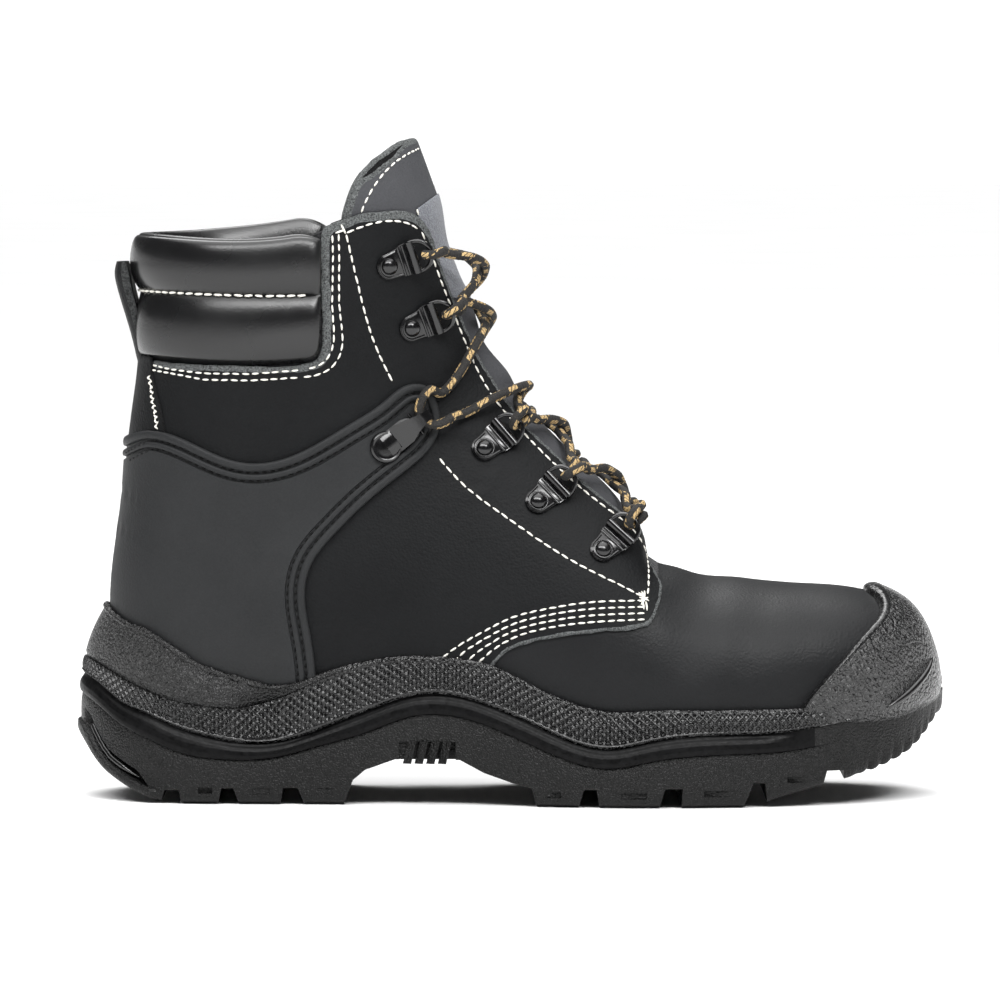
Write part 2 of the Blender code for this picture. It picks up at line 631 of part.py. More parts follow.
def make_midsole(outline):
    """Midsole: rib, band and lip around the last, heel cup and toe bumper, hollowed by the last."""
    points, out = outline
    x = points[:, 0]
    tree = last_tree(0.0)

    def hug(height, stand_off):
        """Inset that leaves the ring stand_off outside the last at the given heights."""
        inset = []
        for p, n, z, d in zip(points, out, height, stand_off):
            start = Vector((p[0] + RAY_START * n[0], p[1] + RAY_START * n[1], z))
            hit = tree.ray_cast(start, Vector((-n[0], -n[1], 0.0)))[0]
            inset.append((p[0] - hit.x) * n[0] + (p[1] - hit.y) * n[1] - d)
        return np.array(inset)

    def settle(name, stand_off):
        """Heights of a line of the sole and its inset, both where the ring ends up."""
        inset = np.full(len(x), FIRST_INSET)
        for _ in range(SETTLE_ROUNDS):
            height = level(name, x - out[:, 0] * inset)
            inset = hug(height, stand_off)
        return height, inset

    low = level("rib_low", x) + 0.5 * GAP
    high = level("rib_high", x)
    plain = smoothstep(*TOE_ENDS, x)
    heel = smoothstep(*HEEL_BAND_ENDS, x)
    rim = LIP_STAND_OFF + HEEL_CUP_MORE * smoothstep(*HEEL_CUP_ENDS, x) - TOE_LESS * plain
    lip, lip_inset = settle("lip", rim)
    band, band_inset = settle("band_top", rim + BAND_MORE)
    band_inset = (1.0 - heel) * band_inset + heel * HEEL_BAND_INSET
    band = (1.0 - heel) * band + heel * level("band_top", x - out[:, 0] * band_inset)
    groove = 1.0 - plain
    body = ring_solid("midsole", [
        core_ring(outline, GAP),
        sole_ring(outline, RIB_FOOT_INSET, low),
        sole_ring(outline, -RIB_PROUD * groove, 0.65 * low + 0.35 * high),
        sole_ring(outline, -RIB_SHOULDER * groove, 0.25 * low + 0.75 * high),
        sole_ring(outline, RIB_GROOVE * groove + TOE_RIB_INSET * plain, high),
        sole_ring(outline, 0.5 * band_inset + TOE_RIB_INSET * groove, high + RIB_GROOVE_TALL),
        sole_ring(outline, band_inset, band),
        sole_ring(outline, lip_inset, lip),
    ])
    bumper = combine(last_form(BUMPER_THICK), side_prism(BUMPER_EDGE + BUMPER_FOOT), "INTERSECT")
    combine(body, bumper, "UNION")
    combine(body, last_form(GAP), "DIFFERENCE")
    return finish(body, "midsole", "midsole_foam", FOAM)


def board_line(rise):
    """Points of the line where the insole board meets the upper, toe to heel, raised by rise."""
    return [(x, z + rise) for x, z in ((172.0, 36.0),) + BOTTOM_EDGE + ((-165.0, 44.0),)]


def make_upper():
    """Upper: one hollow shell with the quarters raised, open at collar, throat and underneath."""
    quarter = list(QUARTER_FRONT + ((62.0, 104.0), (62.0, 250.0)) + COLLAR_WINDOW)
    quarter += lip_line(-165.0, -9.0, LIP_CLEAR, 20)
    raised = combine(last_form(QUARTER_STEP), side_prism(quarter), "INTERSECT")
    body = combine(last_form(0.0), raised, "UNION")
    combine(body, last_form(-UPPER_WALL), "DIFFERENCE")
    keep = board_line(INSOLE_RISE + GAP)[::-1] + [(172.0, 110.0), (64.0, 110.0)]
    keep += FACING + COLLAR_TOP
    combine(body, side_prism(keep), "INTERSECT")
    return finish(body, "upper", "leather", LEATHER)


def make_insole():
    """Insole board: the floor of the last, under the upper's lower edge."""
    outline = board_line(INSOLE_RISE) + [(-165.0, 5.0), (172.0, 5.0)]
    body = combine(last_form(0.0), side_prism(outline), "INTERSECT")
    return finish(body, "insole", "insole_board", BOARD)


def make_tongue():
    """Tongue: a shell just inside the upper, in front of its own edge line."""
    body = last_form(-UPPER_WALL - GAP)
    combine(body, last_form(-UPPER_WALL - GAP - TONGUE_THICK), "DIFFERENCE")
    combine(body, side_prism(TONGUE_EDGE + ((80.0, 70.0), (80.0, 234.8))), "INTERSECT")
    return finish(body, "tongue", "tongue_leather", LEATHER)


def inset_outline(outline, distance):
    """An open outline moved to its right by distance."""
    line = np.asarray(outline, float)
    ahead = np.gradient(line, axis=0)
    ahead /= np.linalg.norm(ahead, axis=1, keepdims=True)
    return line + np.stack([ahead[:, 1], -ahead[:, 0]], axis=1) * distance


def make_counter():
    """Heel counter: an overlay around the heel with a raised border along its edge."""
    low = QUARTER_STEP + GAP
    edge = list(COUNTER_EDGE)
    bottom = lip_line(-69.3, -165.0, LIP_CLEAR, 16)
    body = last_form(low + COUNTER_THICK + COUNTER_BORDER)
    inner = inset_outline(edge, BORDER_WIDTH)
    field = [tuple(p) for p in inner] + [(-72.0, 30.0), (-172.0, 30.0)]
    sunk = last_form(low + COUNTER_THICK + 6.0)
    combine(sunk, last_form(low + COUNTER_THICK), "DIFFERENCE")
    combine(sunk, side_prism(field), "INTERSECT")
    combine(body, sunk, "DIFFERENCE")
    combine(body, last_form(low), "DIFFERENCE")
    combine(body, side_prism(edge + bottom), "INTERSECT")
    return finish(body, "heel_counter", "counter_leather", COUNTER_LEATHER)


def pad_bulge(z):
    """How far the collar's two rolls stand out at height z."""
    low, high = (PAD_BOTTOM, PAD_SEAM) if z < PAD_SEAM else (PAD_SEAM, PAD_TOP)
    t = (z - low) / (high - low)
    foot = PAD_EDGE + (PAD_SEAM_BULGE - PAD_EDGE) * (t if z < PAD_SEAM else 1.0 - t)
    return foot + (PAD_BULGE - foot) * math.sqrt(max(0.0, 1.0 - (2.0 * t - 1.0) ** 2))


def shell_grid(name, outer, inner):
    """A closed sheet from two grids of points of the same size."""
    rows, columns = outer.shape[:2]
    size = rows * columns
    points = list(outer.reshape(-1, 3)) + list(inner.reshape(-1, 3))
    faces = []
    for r in range(rows - 1):
        for c in range(columns - 1):
            a = r * columns + c
            quad = (a, a + 1, a + columns + 1, a + columns)
            faces.append(quad)
            faces.append(tuple(size + k for k in reversed(quad)))
    rim = [c for c in range(columns)]
    rim += [r * columns + columns - 1 for r in range(1, rows)]
    rim += [(rows - 1) * columns + c for c in range(columns - 2, -1, -1)]
    rim += [r * columns for r in range(rows - 2, 0, -1)]
    for i, a in enumerate(rim):
        b = rim[(i + 1) % len(rim)]
        faces.append((a, b, size + b, size + a))
    return mesh_object(name, points, faces)


def make_collar_pad():
    """Collar pad: two rolls around the back of the shaft, in the window of the quarters."""
    tree = last_tree(0.0)
    heights = []
    for low, high in ((PAD_BOTTOM, PAD_SEAM), (PAD_SEAM, PAD_TOP)):
        swing = np.linspace(0.0, math.pi, PAD_ROWS + 1)
        heights += list(low + (high - low) * 0.5 * (1.0 - np.cos(swing)))
    del heights[PAD_ROWS]
    turns = np.radians(np.linspace(PAD_FRONT_ANGLE, 360.0 - PAD_FRONT_ANGLE, PAD_COLUMNS + 1))
    fade = np.ones(PAD_COLUMNS + 1)
    fade[[0, -1]] = PAD_END_SHARE
    outer = np.zeros((len(heights), len(turns), 3))
    inner = np.zeros_like(outer)
    for r, z in enumerate(heights):
        for c, turn in enumerate(turns):
            way = Vector((math.cos(turn), math.sin(turn), 0.0))
            hit = tree.ray_cast(Vector((PAD_AXIS_X, 0.0, z)), way)[0]
            inner[r, c] = np.array(hit) + np.array(way) * PAD_GAP
            outer[r, c] = np.array(hit) + np.array(way) * (PAD_GAP + pad_bulge(z) * fade[c])
    body = shell_grid("collar_pad", outer, inner)
    return finish(body, "collar_pad", "collar_leather", SMOOTH_LEATHER, 60.0)


def make_pull_tab():
    """Pull tab: a strip up the back seam that leaves the heel and stands behind the collar."""
    tree = last_tree(QUARTER_STEP)
    across = np.linspace(-0.5, 0.5, 5) * TAB_WIDTH
    outer = np.zeros((len(TAB_ROWS), len(across), 3))
    inner = np.zeros_like(outer)
    for r, row in enumerate(TAB_ROWS):
        for c, y in enumerate(across):
            hit = tree.ray_cast(Vector((-200.0, y, row.z)), Vector((1.0, 0.0, 0.0)))[0]
            inner[r, c] = (hit.x - row.stand_off, y, row.z)
            outer[r, c] = (hit.x - row.stand_off - row.thick, y, row.z)
    return finish(shell_grid("pull_tab", outer, inner), "pull_tab", "leather", LEATHER, 60.0)


def hardware_frame(row, offset, side):
    """Place of a fitting: foot point on the boot and its along, across and out directions."""
    ring, turn = locate(row.x, row.z)
    foot = DENSE_POINTS[ring, turn] + DENSE_NORMALS[ring, turn] * offset
    out = DENSE_NORMALS[ring, turn].copy()
    aim = np.array([math.cos(math.radians(row.angle)), 0.0, math.sin(math.radians(row.angle))])
    if side > 0.0:
        other = DENSE_POINTS.shape[1] - turn
        foot = DENSE_POINTS[ring, other] + DENSE_NORMALS[ring, other] * offset
        out = DENSE_NORMALS[ring, other].copy()
    along = aim - out * np.dot(aim, out)
    along /= np.linalg.norm(along)
    return foot, along, np.cross(out, along), out


def placed(frame, points):
    """Points given along, across and out of a fitting, moved to its place on the boot."""
    foot, along, across, out = frame
    return [foot + along * a + across * b + out * c for a, b, c in points]


def extruded(frame, outline, low, high):
    """A plate with an outline in along and across, between two heights."""
    count = len(outline)
    points = [(a, b, low) for a, b in outline] + [(a, b, high) for a, b in outline]
    faces = [tuple(range(count)), tuple(range(count, 2 * count))]
    faces += [(i, (i + 1) % count, count + (i + 1) % count, count + i) for i in range(count)]
    return mesh_object("plate", placed(frame, points), faces)


def dome(frame, radius, low, height, sides=6):
    """A rivet head on a plate."""
    points = []
    for share, rise in ((1.0, 0.0), (1.0, 0.4), (0.55, 1.0)):
        for k in range(sides):
            turn = 2.0 * math.pi * k / sides
            reach = radius * share
            points.append((reach * math.cos(turn), reach * math.sin(turn), low + rise * height))
    faces = [tuple(range(sides)), tuple(range(2 * sides, 3 * sides))]
    for r in range(2):
        for k in range(sides):
            step = (k + 1) % sides
            faces.append((r * sides + k, r * sides + step, (r + 1) * sides + step, (r + 1) * sides + k))
    return mesh_object("dome", placed(frame, points), faces)


def tube(points, radius, sides=5):
    """A round bar along a row of points, with flat ends."""
    line = np.asarray(points, float)
    ahead = np.gradient(line, axis=0)
    ahead /= np.linalg.norm(ahead, axis=1, keepdims=True)
    guide = np.array([0.0, 0.0, 1.0])
    if abs(ahead[0] @ guide) > 0.9:
        guide = np.array([0.0, 1.0, 0.0])
    around = []
    for p, t in zip(line, ahead):
        guide = guide - t * (guide @ t)
        guide /= np.linalg.norm(guide)
        third = np.cross(t, guide)
        for k in range(sides):
            turn = 2.0 * math.pi * k / sides
            around.append(p + radius * (math.cos(turn) * guide + math.sin(turn) * third))
    rows = len(line)
    faces = [tuple(range(sides)), tuple(range((rows - 1) * sides, rows * sides))]
    for r in range(rows - 1):
        for k in range(sides):
            step = (k + 1) % sides
            faces.append((r * sides + k, r * sides + step, (r + 1) * sides + step, (r + 1) * sides + k))
    return mesh_object("tube", around, faces)


def make_eyelet(name, row, side):
    """D-ring eyelet: plate with a round end, rivet head, rolled barrel and wire ring."""
    frame = hardware_frame(row, QUARTER_STEP + GAP + PLATE_CLEAR, side)
    half = 0.5 * PLATE_BAR_WIDTH
    end = [math.radians(a) for a in (100.0, 130.0, 160.0, 200.0, 230.0, 260.0)]
    outline = [(PLATE_BAR_AT, -half), (PLATE_BAR_AT, half)]
    outline += [(PLATE_END_RADIUS * math.cos(a), PLATE_END_RADIUS * math.sin(a)) for a in end]
    body = extruded(frame, outline, 0.0, PLATE_THICK)
    combine(body, dome(frame, RIVET_RADIUS, 0.5 * PLATE_THICK, RIVET_HEIGHT + 0.5 * PLATE_THICK), "UNION")
    lift = BARREL_RADIUS
    barrel = placed(frame, [(PLATE_BAR_AT, s * (half + BARREL_OVERHANG), lift) for s in (-1.0, 1.0)])
    combine(body, tube(barrel, BARREL_RADIUS), "UNION")
    tilt = math.radians(RING_TILT)
    swing = np.linspace(-0.5 * math.pi, 0.5 * math.pi, 6)
    loop = []
    for turn in swing:
        reach = RING_REACH * math.cos(turn)
        loop.append((
            PLATE_BAR_AT + reach * math.cos(tilt),
            (half - RING_PLAY) * math.sin(turn),
            lift + reach * math.sin(tilt),
        ))
    combine(body, tube(placed(frame, loop), RING_WIRE, 4), "UNION")
    return finish(body, name, "black_metal", METAL)


def make_hook(name, side):
    """Lock hook: a riveted plate whose front end turns out and back over itself."""
    frame = hardware_frame(HOOK, QUARTER_STEP + GAP + COUNTER_THICK + COUNTER_BORDER + 2.0 * GAP, side)
    half = 0.5 * HOOK_WIDTH
    turns = np.linspace(-0.5 * math.pi, 0.5 * math.pi, 5)
    centre = HOOK_THROAT + PLATE_THICK
    outer = [(HOOK_REACH + centre * math.cos(t), centre + centre * math.sin(t)) for t in turns]
    inner = [(HOOK_REACH + HOOK_THROAT * math.cos(t), centre + HOOK_THROAT * math.sin(t)) for t in turns]
    profile = [(0.0, 0.0)] + outer + [(HOOK_LIP, 2.0 * centre + HOOK_LIP_OUTER)]
    profile += [(HOOK_LIP, 2.0 * centre - HOOK_LIP_INNER)] + inner[::-1] + [(0.0, PLATE_THICK)]
    count = len(profile)
    points = [(a, s * half, c) for s in (-1.0, 1.0) for a, c in profile]
    faces = [tuple(range(count)), tuple(range(count, 2 * count))]
    faces += [(i, (i + 1) % count, count + (i + 1) % count, count + i) for i in range(count)]
    body = mesh_object("hook", placed(frame, points), faces)
    base = [
        (HOOK_BASE_RADIUS * math.cos(a), HOOK_BASE_RADIUS * math.sin(a))
        for a in np.linspace(0.0, 2.0 * math.pi, 12, endpoint=False)
    ]
    combine(body, extruded(frame, base, HOOK_BASE_FROM, PLATE_THICK + HOOK_BASE_RISE), "UNION")
    combine(body, dome(frame, RIVET_RADIUS, HOOK_RIVET_FROM, HOOK_RIVET_HEIGHT), "UNION")
    return finish(body, name, "black_metal", METAL)


def lace_stations():
    """Ring and turn on the lateral side of each lacing point, bottom to top, with the hook in its row."""
    stations = []
    for row in EYELETS[:3] + (HOOK,) + EYELETS[3:]:
        reach = HOOK_REACH + HOOK_CLEAR if row is HOOK else PLATE_BAR_AT + RING_CLEAR
        x = row.x + reach * math.cos(math.radians(row.angle))
        z = row.z + reach * math.sin(math.radians(row.angle))
        stations.append(locate(x, z))
    return stations


def strand(start, end, side, slack, trim, count=6):
    """One run of the lace over the tongue, from near a station on one side to near one on the other."""
    line = []
    for t in np.linspace(trim, 1.0 - trim, count + 1):
        ring = start[0] + (end[0] - start[0]) * t
        turn = -side * (start[1] * (1.0 - t) - end[1] * t)
        y = abs(surface_at(ring, turn, 0.0)[1] - surface_at(ring, 0.0, 0.0)[1])
        lift = CROSS_MIDDLE + (CROSS_OVER_FACING - CROSS_MIDDLE) * smoothstep(*CROSS_RISE, y)
        line.append(surface_at(ring, turn, float(lift) + slack * math.sin(math.pi * t) ** 2))
    return line


def make_lace():
    """Lace: a bar over the foot of the throat and five crossings, each joined where its runs meet."""
    stations = lace_stations()
    foot = (stations[0][0] - BAR_DROP, stations[0][1])
    bar = tube(strand(foot, foot, -1.0, CROSS_SLACK, 0.0), LACE_RADIUS)
    finish(bar, "lace_bar", "lace_cord", CORD)
    for i, (low, high) in enumerate(zip(stations, stations[1:])):
        slack = CROSS_TOP_SLACK if i == len(stations) - 2 else CROSS_SLACK
        body = tube(strand(low, high, -1.0, slack, CROSS_TRIM), LACE_RADIUS)
        combine(body, tube(strand(low, high, 1.0, slack, CROSS_TRIM), LACE_RADIUS), "UNION")
        finish(body, f"lace_cross_{i + 1}", "lace_cord", CORD)


def main():
    """Build every piece of the boot."""
    clear_scene()
    outline = sole_outline()
    make_outsole(outline)
    make_midsole(outline)
    make_upper()
    make_insole()
    make_tongue()
    make_counter()
    make_collar_pad()
    make_pull_tab()
    for i, row in enumerate(EYELETS, 1):
        make_eyelet(f"eyelet_lateral_{i}", row, -1.0)
        make_eyelet(f"eyelet_medial_{i}", row, 1.0)
    make_hook("hook_lateral", -1.0)
    make_hook("hook_medial", 1.0)
    make_lace()


main()
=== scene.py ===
"""Safety boot for the right foot: leather upper, moulded sole, lace and fittings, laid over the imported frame.

The tables are in millimetres and the meshes in metres.  +X points to the toe, +Y to the medial (inner) side
of the foot and +Z up.  A line in the side view is a row of (x, z) points, as the lateral side shows it.
"""
import math
from collections import namedtuple

import bmesh
import bpy
import numpy as np
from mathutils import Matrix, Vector
from mathutils.bvhtree import BVHTree


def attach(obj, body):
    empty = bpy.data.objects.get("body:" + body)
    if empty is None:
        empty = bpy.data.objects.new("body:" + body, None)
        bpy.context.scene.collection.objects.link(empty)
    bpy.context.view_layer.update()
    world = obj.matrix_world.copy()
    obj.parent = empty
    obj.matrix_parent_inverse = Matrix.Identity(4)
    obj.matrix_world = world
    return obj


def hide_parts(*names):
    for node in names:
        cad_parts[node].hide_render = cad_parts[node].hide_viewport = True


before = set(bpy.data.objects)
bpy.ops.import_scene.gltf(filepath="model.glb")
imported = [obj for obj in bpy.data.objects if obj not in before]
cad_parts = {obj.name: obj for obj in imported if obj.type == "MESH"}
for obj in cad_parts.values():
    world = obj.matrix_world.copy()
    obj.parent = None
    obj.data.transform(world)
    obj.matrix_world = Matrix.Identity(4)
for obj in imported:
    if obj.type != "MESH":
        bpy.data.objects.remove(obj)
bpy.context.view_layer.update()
MM = 0.001
LATERAL, MEDIAL = -1.0, 1.0
SIDES = (("lateral", LATERAL), ("medial", MEDIAL))

# Places along the sole where the moulded grain changes and the rib starts to fade
TOE_GRAIN_FROM = 106.0
RIB_FADE_FROM = 86.0
CUP_GRAIN_TO = -60.0

# Where the sole's side turns plain at the toe, and where its heel cup begins
PLAIN_FROM, PLAIN_FULL = 100.0, 118.0
CUP_FROM, CUP_FULL = -84.0, -100.0
BAND_END = 120.0
RIM_WIDTH = 2.8
CUP_RIM, CUP_RIM_FROM, CUP_RIM_FULL = 2.2, -58.0, -74.0
PLAIN_RIM = 0.45

# Leather layers, as heights above the last
LINING_IN, LINING_OUT = -2.2, -0.3
VAMP_IN, VAMP_OUT = -1.45, 0.0
QUARTER_IN, QUARTER_OUT = 0.05, 1.4
STRAP_OUT = 2.1
COUNTER_IN, COUNTER_OUT = 1.45, 3.2
BUMPER_IN, BUMPER_OUT = 0.1, 3.6
TONGUE_IN, TONGUE_OUT = -5.9, -2.3
PATCH_OUT = -1.7
BED_IN, BED_OUT = -4.6, -2.3
LAYER_GAP = 0.02

# How far the lining keeps inside its outline, and how far lining and footbed rise above the board line
LINING_INSET = 0.8
LINING_RISE = 1.0
BED_RISE = 7.0

# Gap between outsole and midsole
GAP = 0.3

# Cut edges of leather: the share of an edge that shows its fibres, and the edge's waver
RAW_RIM = 0.98
CUT_WAVER = 0.13

# Border of the heel counter, from its edge in: wide ridge, stitched groove, narrow ridge, stitched groove
RIDGE_END, SECOND_FROM, SECOND_END, BORDER_END = 2.9, 3.9, 5.9, 6.9
RIDGE_FOOT, RIDGE_RISE = 0.2, 0.9
SECOND_FOOT, SECOND_RISE = 0.15, 0.65
GROOVE_DEPTH = 0.85

# Fineness: rings along the last, points around each ring, points along half of the sole's outline,
# and the share of the last's points that a smooth panel needs
RINGS = 210
AROUND = 220
SOLE_STATIONS = 290
WALL_STATIONS = 400
BAND_STATIONS = 1400
BAND_ROWS = 33
MESH_SHARE = {
    "vamp": 0.66,
    "quarters": 0.72,
    "lining": 0.3,
    "tongue": 0.72,
    "tongue_shade_core": 0.42,
    "tongue_lining": 0.42,
    "footbed": 0.36,
    "toe_bumper": 0.82,
}

# Distance from the boot's middle at which a ray from the side starts
SIDE_RAY = 200.0

# Midsole band: its cross-hatching, how far it stands out and bulges, and the skirt along its foot
HATCH_PITCH = 2.8
HATCH_DEPTH = 0.8
HATCH_CREST, HATCH_SLOPE = 0.05, 0.25
BAND_PROUD = 0.35
BAND_BULGE, CUP_BULGE = 0.9, 0.5
SKIRT_AT, SKIRT_HALF = 0.04, 0.06
PLAIN_SINK = 0.6

# Inset of the rib's face, by the share of the rib's height
RIB_PROFILE = ((0.0, 0.5), (0.08, 0.15), (0.25, 0.0), (0.5, 0.2), (0.7, 0.8), (0.85, 1.6), (1.0, 2.0))
TOE_FOOT_INSET, TOE_LEAN = 0.5, 0.2
RIPPLE_DEPTH, RIPPLE_PITCH, RIPPLE_FROM, RIPPLE_FULL = 0.5, 4.4, 144.0, 152.0

# Groove above the rib as (rise, inset), swell of the heel cup, and the lip's rounding as (share of rim, rise)
GROOVE_STEPS = ((0.15, 0.2), (0.35, 0.45), (0.8, 0.5))
GROOVE_RISE = GROOVE_STEPS[-1][0]
BACKING_INSET = 0.9
CUP_SWELL, SWELL_FROM, SWELL_FULL = 0.9, 3.0, 10.0
LIP_ROUNDING = ((0.06, 0.3), (0.2, 0.55), (0.45, 0.6), (0.75, 0.3), (0.98, -0.6))

# The last, toe to collar: each row is one section, cut by the plane through its top and bottom points
Section = namedtuple("Section", "top_x top_z bottom_x bottom_z lateral medial widest top_power bottom_power")
TOE_TIP = Section(150.5, 40.0, 150.5, 40.0, -7.0, 7.0, 0.40, 2.4, 2.6)
SECTIONS = (
    Section(148.0, 53.0, 148.0, 33.5, 10.0, 23.0, 0.40, 2.4, 2.6),
    Section(142.0, 64.5, 142.0, 30.0, 22.0, 33.0, 0.38, 2.5, 3.0),
    Section(132.0, 71.0, 132.5, 27.0, 33.0, 41.0, 0.36, 2.6, 3.4),
    Section(118.0, 74.2, 119.0, 24.5, 40.5, 46.0, 0.34, 2.5, 3.8),
    Section(98.0, 75.5, 100.0, 22.0, 46.0, 49.0, 0.33, 2.3, 4.0),
    Section(76.0, 77.6, 78.0, 20.5, 49.0, 49.5, 0.33, 2.15, 4.0),
    Section(60.0, 81.0, 58.0, 20.0, 49.8, 48.5, 0.33, 2.1, 4.0),
    Section(50.0, 90.5, 40.0, 20.3, 49.3, 46.0, 0.34, 2.05, 4.0),
    Section(41.0, 105.3, 16.0, 21.5, 47.0, 42.5, 0.36, 2.0, 4.0),
    Section(28.6, 118.6, -14.0, 24.7, 43.0, 39.5, 0.37, 2.0, 3.8),
    Section(15.5, 131.2, -49.0, 28.2, 40.0, 37.5, 0.37, 2.0, 3.5),
    Section(5.0, 142.8, -86.0, 30.0, 38.0, 36.7, 0.35, 2.0, 3.2),
    Section(-1.0, 151.5, -117.0, 32.0, 37.0, 36.5, 0.32, 2.0, 2.8),
    Section(-4.8, 158.0, -134.0, 41.0, 36.2, 36.0, 0.30, 2.0, 2.4),
    Section(-8.0, 164.5, -140.3, 60.0, 35.8, 35.8, 0.30, 2.05, 2.2),
    Section(-11.5, 172.5, -140.2, 80.0, 36.0, 36.0, 0.32, 2.1, 2.2),
    Section(-15.6, 182.0, -137.0, 104.0, 36.6, 36.6, 0.36, 2.15, 2.2),
    Section(-19.4, 192.0, -134.9, 130.0, 37.2, 37.2, 0.42, 2.2, 2.2),
    Section(-22.6, 201.0, -132.2, 150.0, 37.5, 37.5, 0.46, 2.25, 2.2),
    Section(-25.4, 209.0, -131.0, 168.0, 37.6, 37.6, 0.48, 2.3, 2.2),
    Section(-28.4, 217.5, -131.0, 189.0, 37.8, 37.8, 0.50, 2.3, 2.2),
    Section(-32.4, 228.5, -132.0, 210.0, 38.0, 38.0, 0.50, 2.3, 2.2),
    Section(-39.0, 246.0, -134.0, 240.0, 38.4, 38.4, 0.50, 2.3, 2.2),
)

# The sole seen from above, toe to heel
Plan = namedtuple("Plan", "x lateral medial")
TOE_POINT = (155.0, 7.0)
HEEL_POINT = (-155.0, 1.0)
SOLE_PLAN = (
    Plan(149.0, 13.0, 27.0),
    Plan(138.0, 28.0, 40.5),
    Plan(120.0, 42.0, 50.0),
    Plan(95.0, 51.0, 55.0),
    Plan(66.0, 55.5, 56.0),
    Plan(38.0, 56.0, 52.5),
    Plan(8.0, 51.0, 45.0),
    Plan(-25.0, 45.5, 39.5),
    Plan(-60.0, 42.0, 38.5),
    Plan(-95.0, 40.5, 40.0),
    Plan(-125.0, 36.5, 37.0),
    Plan(-145.0, 22.0, 23.5),
)
FLOOR_LINE = ((-156.0, 25.0), (-149.0, 12.2), (-140.0, 6.0), (-131.0, 1.8), (-126.0, 0.0), (86.0, 0.0),
              (94.0, 3.0), (112.0, 7.6), (130.0, 11.6), (144.0, 17.2), (156.0, 31.5))

# Shifts over which the floor line is averaged, to round its corners
FLOOR_SHIFTS = (-4.5, -2.5, -0.8, 0.8, 2.5, 4.5)

# Lip under the heel, slot above it and the bar in the slot; slot and lip end where x is given
LIP_THICK, LIP_PROUD, LIP_END = 4.0, 1.3, -125.6
SLOT_HEIGHT, SLOT_DEPTH = 3.4, 4.4
SLOT_FROM, SLOT_TO = -129.6, -152.4
BAR_INSET, BAR_RADIUS = 1.9, 1.15

# Heights along the sole, heel to toe: core between outsole and midsole, rib, band and lip
Level = namedtuple("Level", "x core rib_low rib_high band_top lip")
SOLE_LEVELS = (
    Level(-156.0, 27.0, 37.6, 44.3, 50.5, 71.5),
    Level(-149.0, 22.5, 34.0, 41.2, 48.3, 69.6),
    Level(-140.0, 19.0, 27.5, 35.0, 43.9, 63.6),
    Level(-130.0, 17.0, 22.9, 31.1, 39.4, 60.0),
    Level(-121.0, 16.0, 18.9, 27.4, 36.3, 54.8),
    Level(-110.0, 15.3, 16.3, 24.0, 34.1, 48.1),
    Level(-98.0, 14.6, 15.4, 21.5, 33.5, 44.1),
    Level(-83.0, 15.2, 16.4, 21.5, 36.8, 41.0),
    Level(-68.0, 17.0, 20.5, 26.3, 43.6, 45.4),
    Level(-52.0, 19.5, 25.2, 32.7, 49.0, 50.0),
    Level(-36.0, 21.0, 31.0, 38.2, 51.2, 52.0),
    Level(-20.0, 20.3, 31.2, 38.3, 50.4, 51.2),
    Level(-6.0, 18.0, 26.9, 34.0, 47.4, 48.2),
    Level(8.0, 14.8, 20.8, 28.0, 40.4, 41.2),
    Level(22.0, 12.8, 15.4, 22.0, 34.6, 35.3),
    Level(34.0, 12.0, 13.6, 20.1, 32.0, 32.7),
    Level(48.0, 12.0, 16.0, 22.7, 32.5, 33.2),
    Level(68.0, 12.5, 18.2, 25.0, 32.7, 33.4),
    Level(80.0, 13.2, 18.6, 25.3, 32.8, 33.5),
    Level(94.0, 14.5, 19.2, 25.8, 32.9, 33.6),
    Level(112.0, 17.0, 22.0, 28.5, 34.0, 34.7),
    Level(130.0, 20.5, 27.0, 32.5, 37.0, 38.0),
    Level(144.0, 24.5, 32.5, 36.5, 40.0, 41.5),
    Level(156.0, 34.0, 38.0, 41.0, 44.0, 46.0),
)

# Tread: grooves between the lugs, arch, lengthwise channels, waist ribs and the marks on the lugs' sides
Groove = namedtuple("Groove", "mouth_from mouth_to roof_from roof_to roof_z")
GROOVES = (
    Groove(-125.5, -116.5, -123.0, -117.8, 4.6),
    Groove(-104.7, -95.0, -102.8, -98.6, 5.5),
    Groove(-82.5, -72.0, -81.0, -75.8, 5.7),
    Groove(22.0, 31.0, 25.0, 29.4, 6.2),
    Groove(50.3, 58.9, 53.4, 59.6, 6.6),
    Groove(79.5, 90.0, 84.5, 88.6, 8.4),
    Groove(106.0, 118.5, 110.6, 116.4, 12.2),
)
ARCH = ((-60.2, -2.0), (-56.3, 8.6), (-52.0, 12.2), (-41.5, 16.0), (-18.6, 16.0),
        (-10.0, 11.5), (1.5, 7.6), (6.6, 6.4), (9.0, -2.0))
Channel = namedtuple("Channel", "x_from x_to y width depth")
CHANNELS = (
    Channel(12.0, 104.0, -19.0, 6.0, 5.0),
    Channel(12.0, 108.0, 21.0, 6.0, 5.0),
    Channel(-118.0, -62.0, 0.0, 7.0, 5.0),
)
ARCH_RIBS = (-37.2, -33.1, -29.0, -24.9)
ARCH_RIB_WIDTH = 2.9
ARCH_RIB_SLANT = 1.9
ARCH_RIB_FOOT, ARCH_RIB_TOP = 14.6, 22.4
ARCH_POCKET = 2.6
Mark = namedtuple("Mark", "x z length")
LUG_MARKS = (Mark(42.5, 4.1, 9.0), Mark(72.1, 4.8, 10.0), Mark(100.2, 9.4, 7.5), Mark(13.0, 4.2, 8.0),
             Mark(-108.5, 4.6, 5.0), Mark(-88.8, 4.4, 6.5), Mark(-66.5, 4.6, 6.0))
MARK_HEIGHT = 2.2
MARK_DEPTH = 0.35
BELOW_FLOOR = -4.0
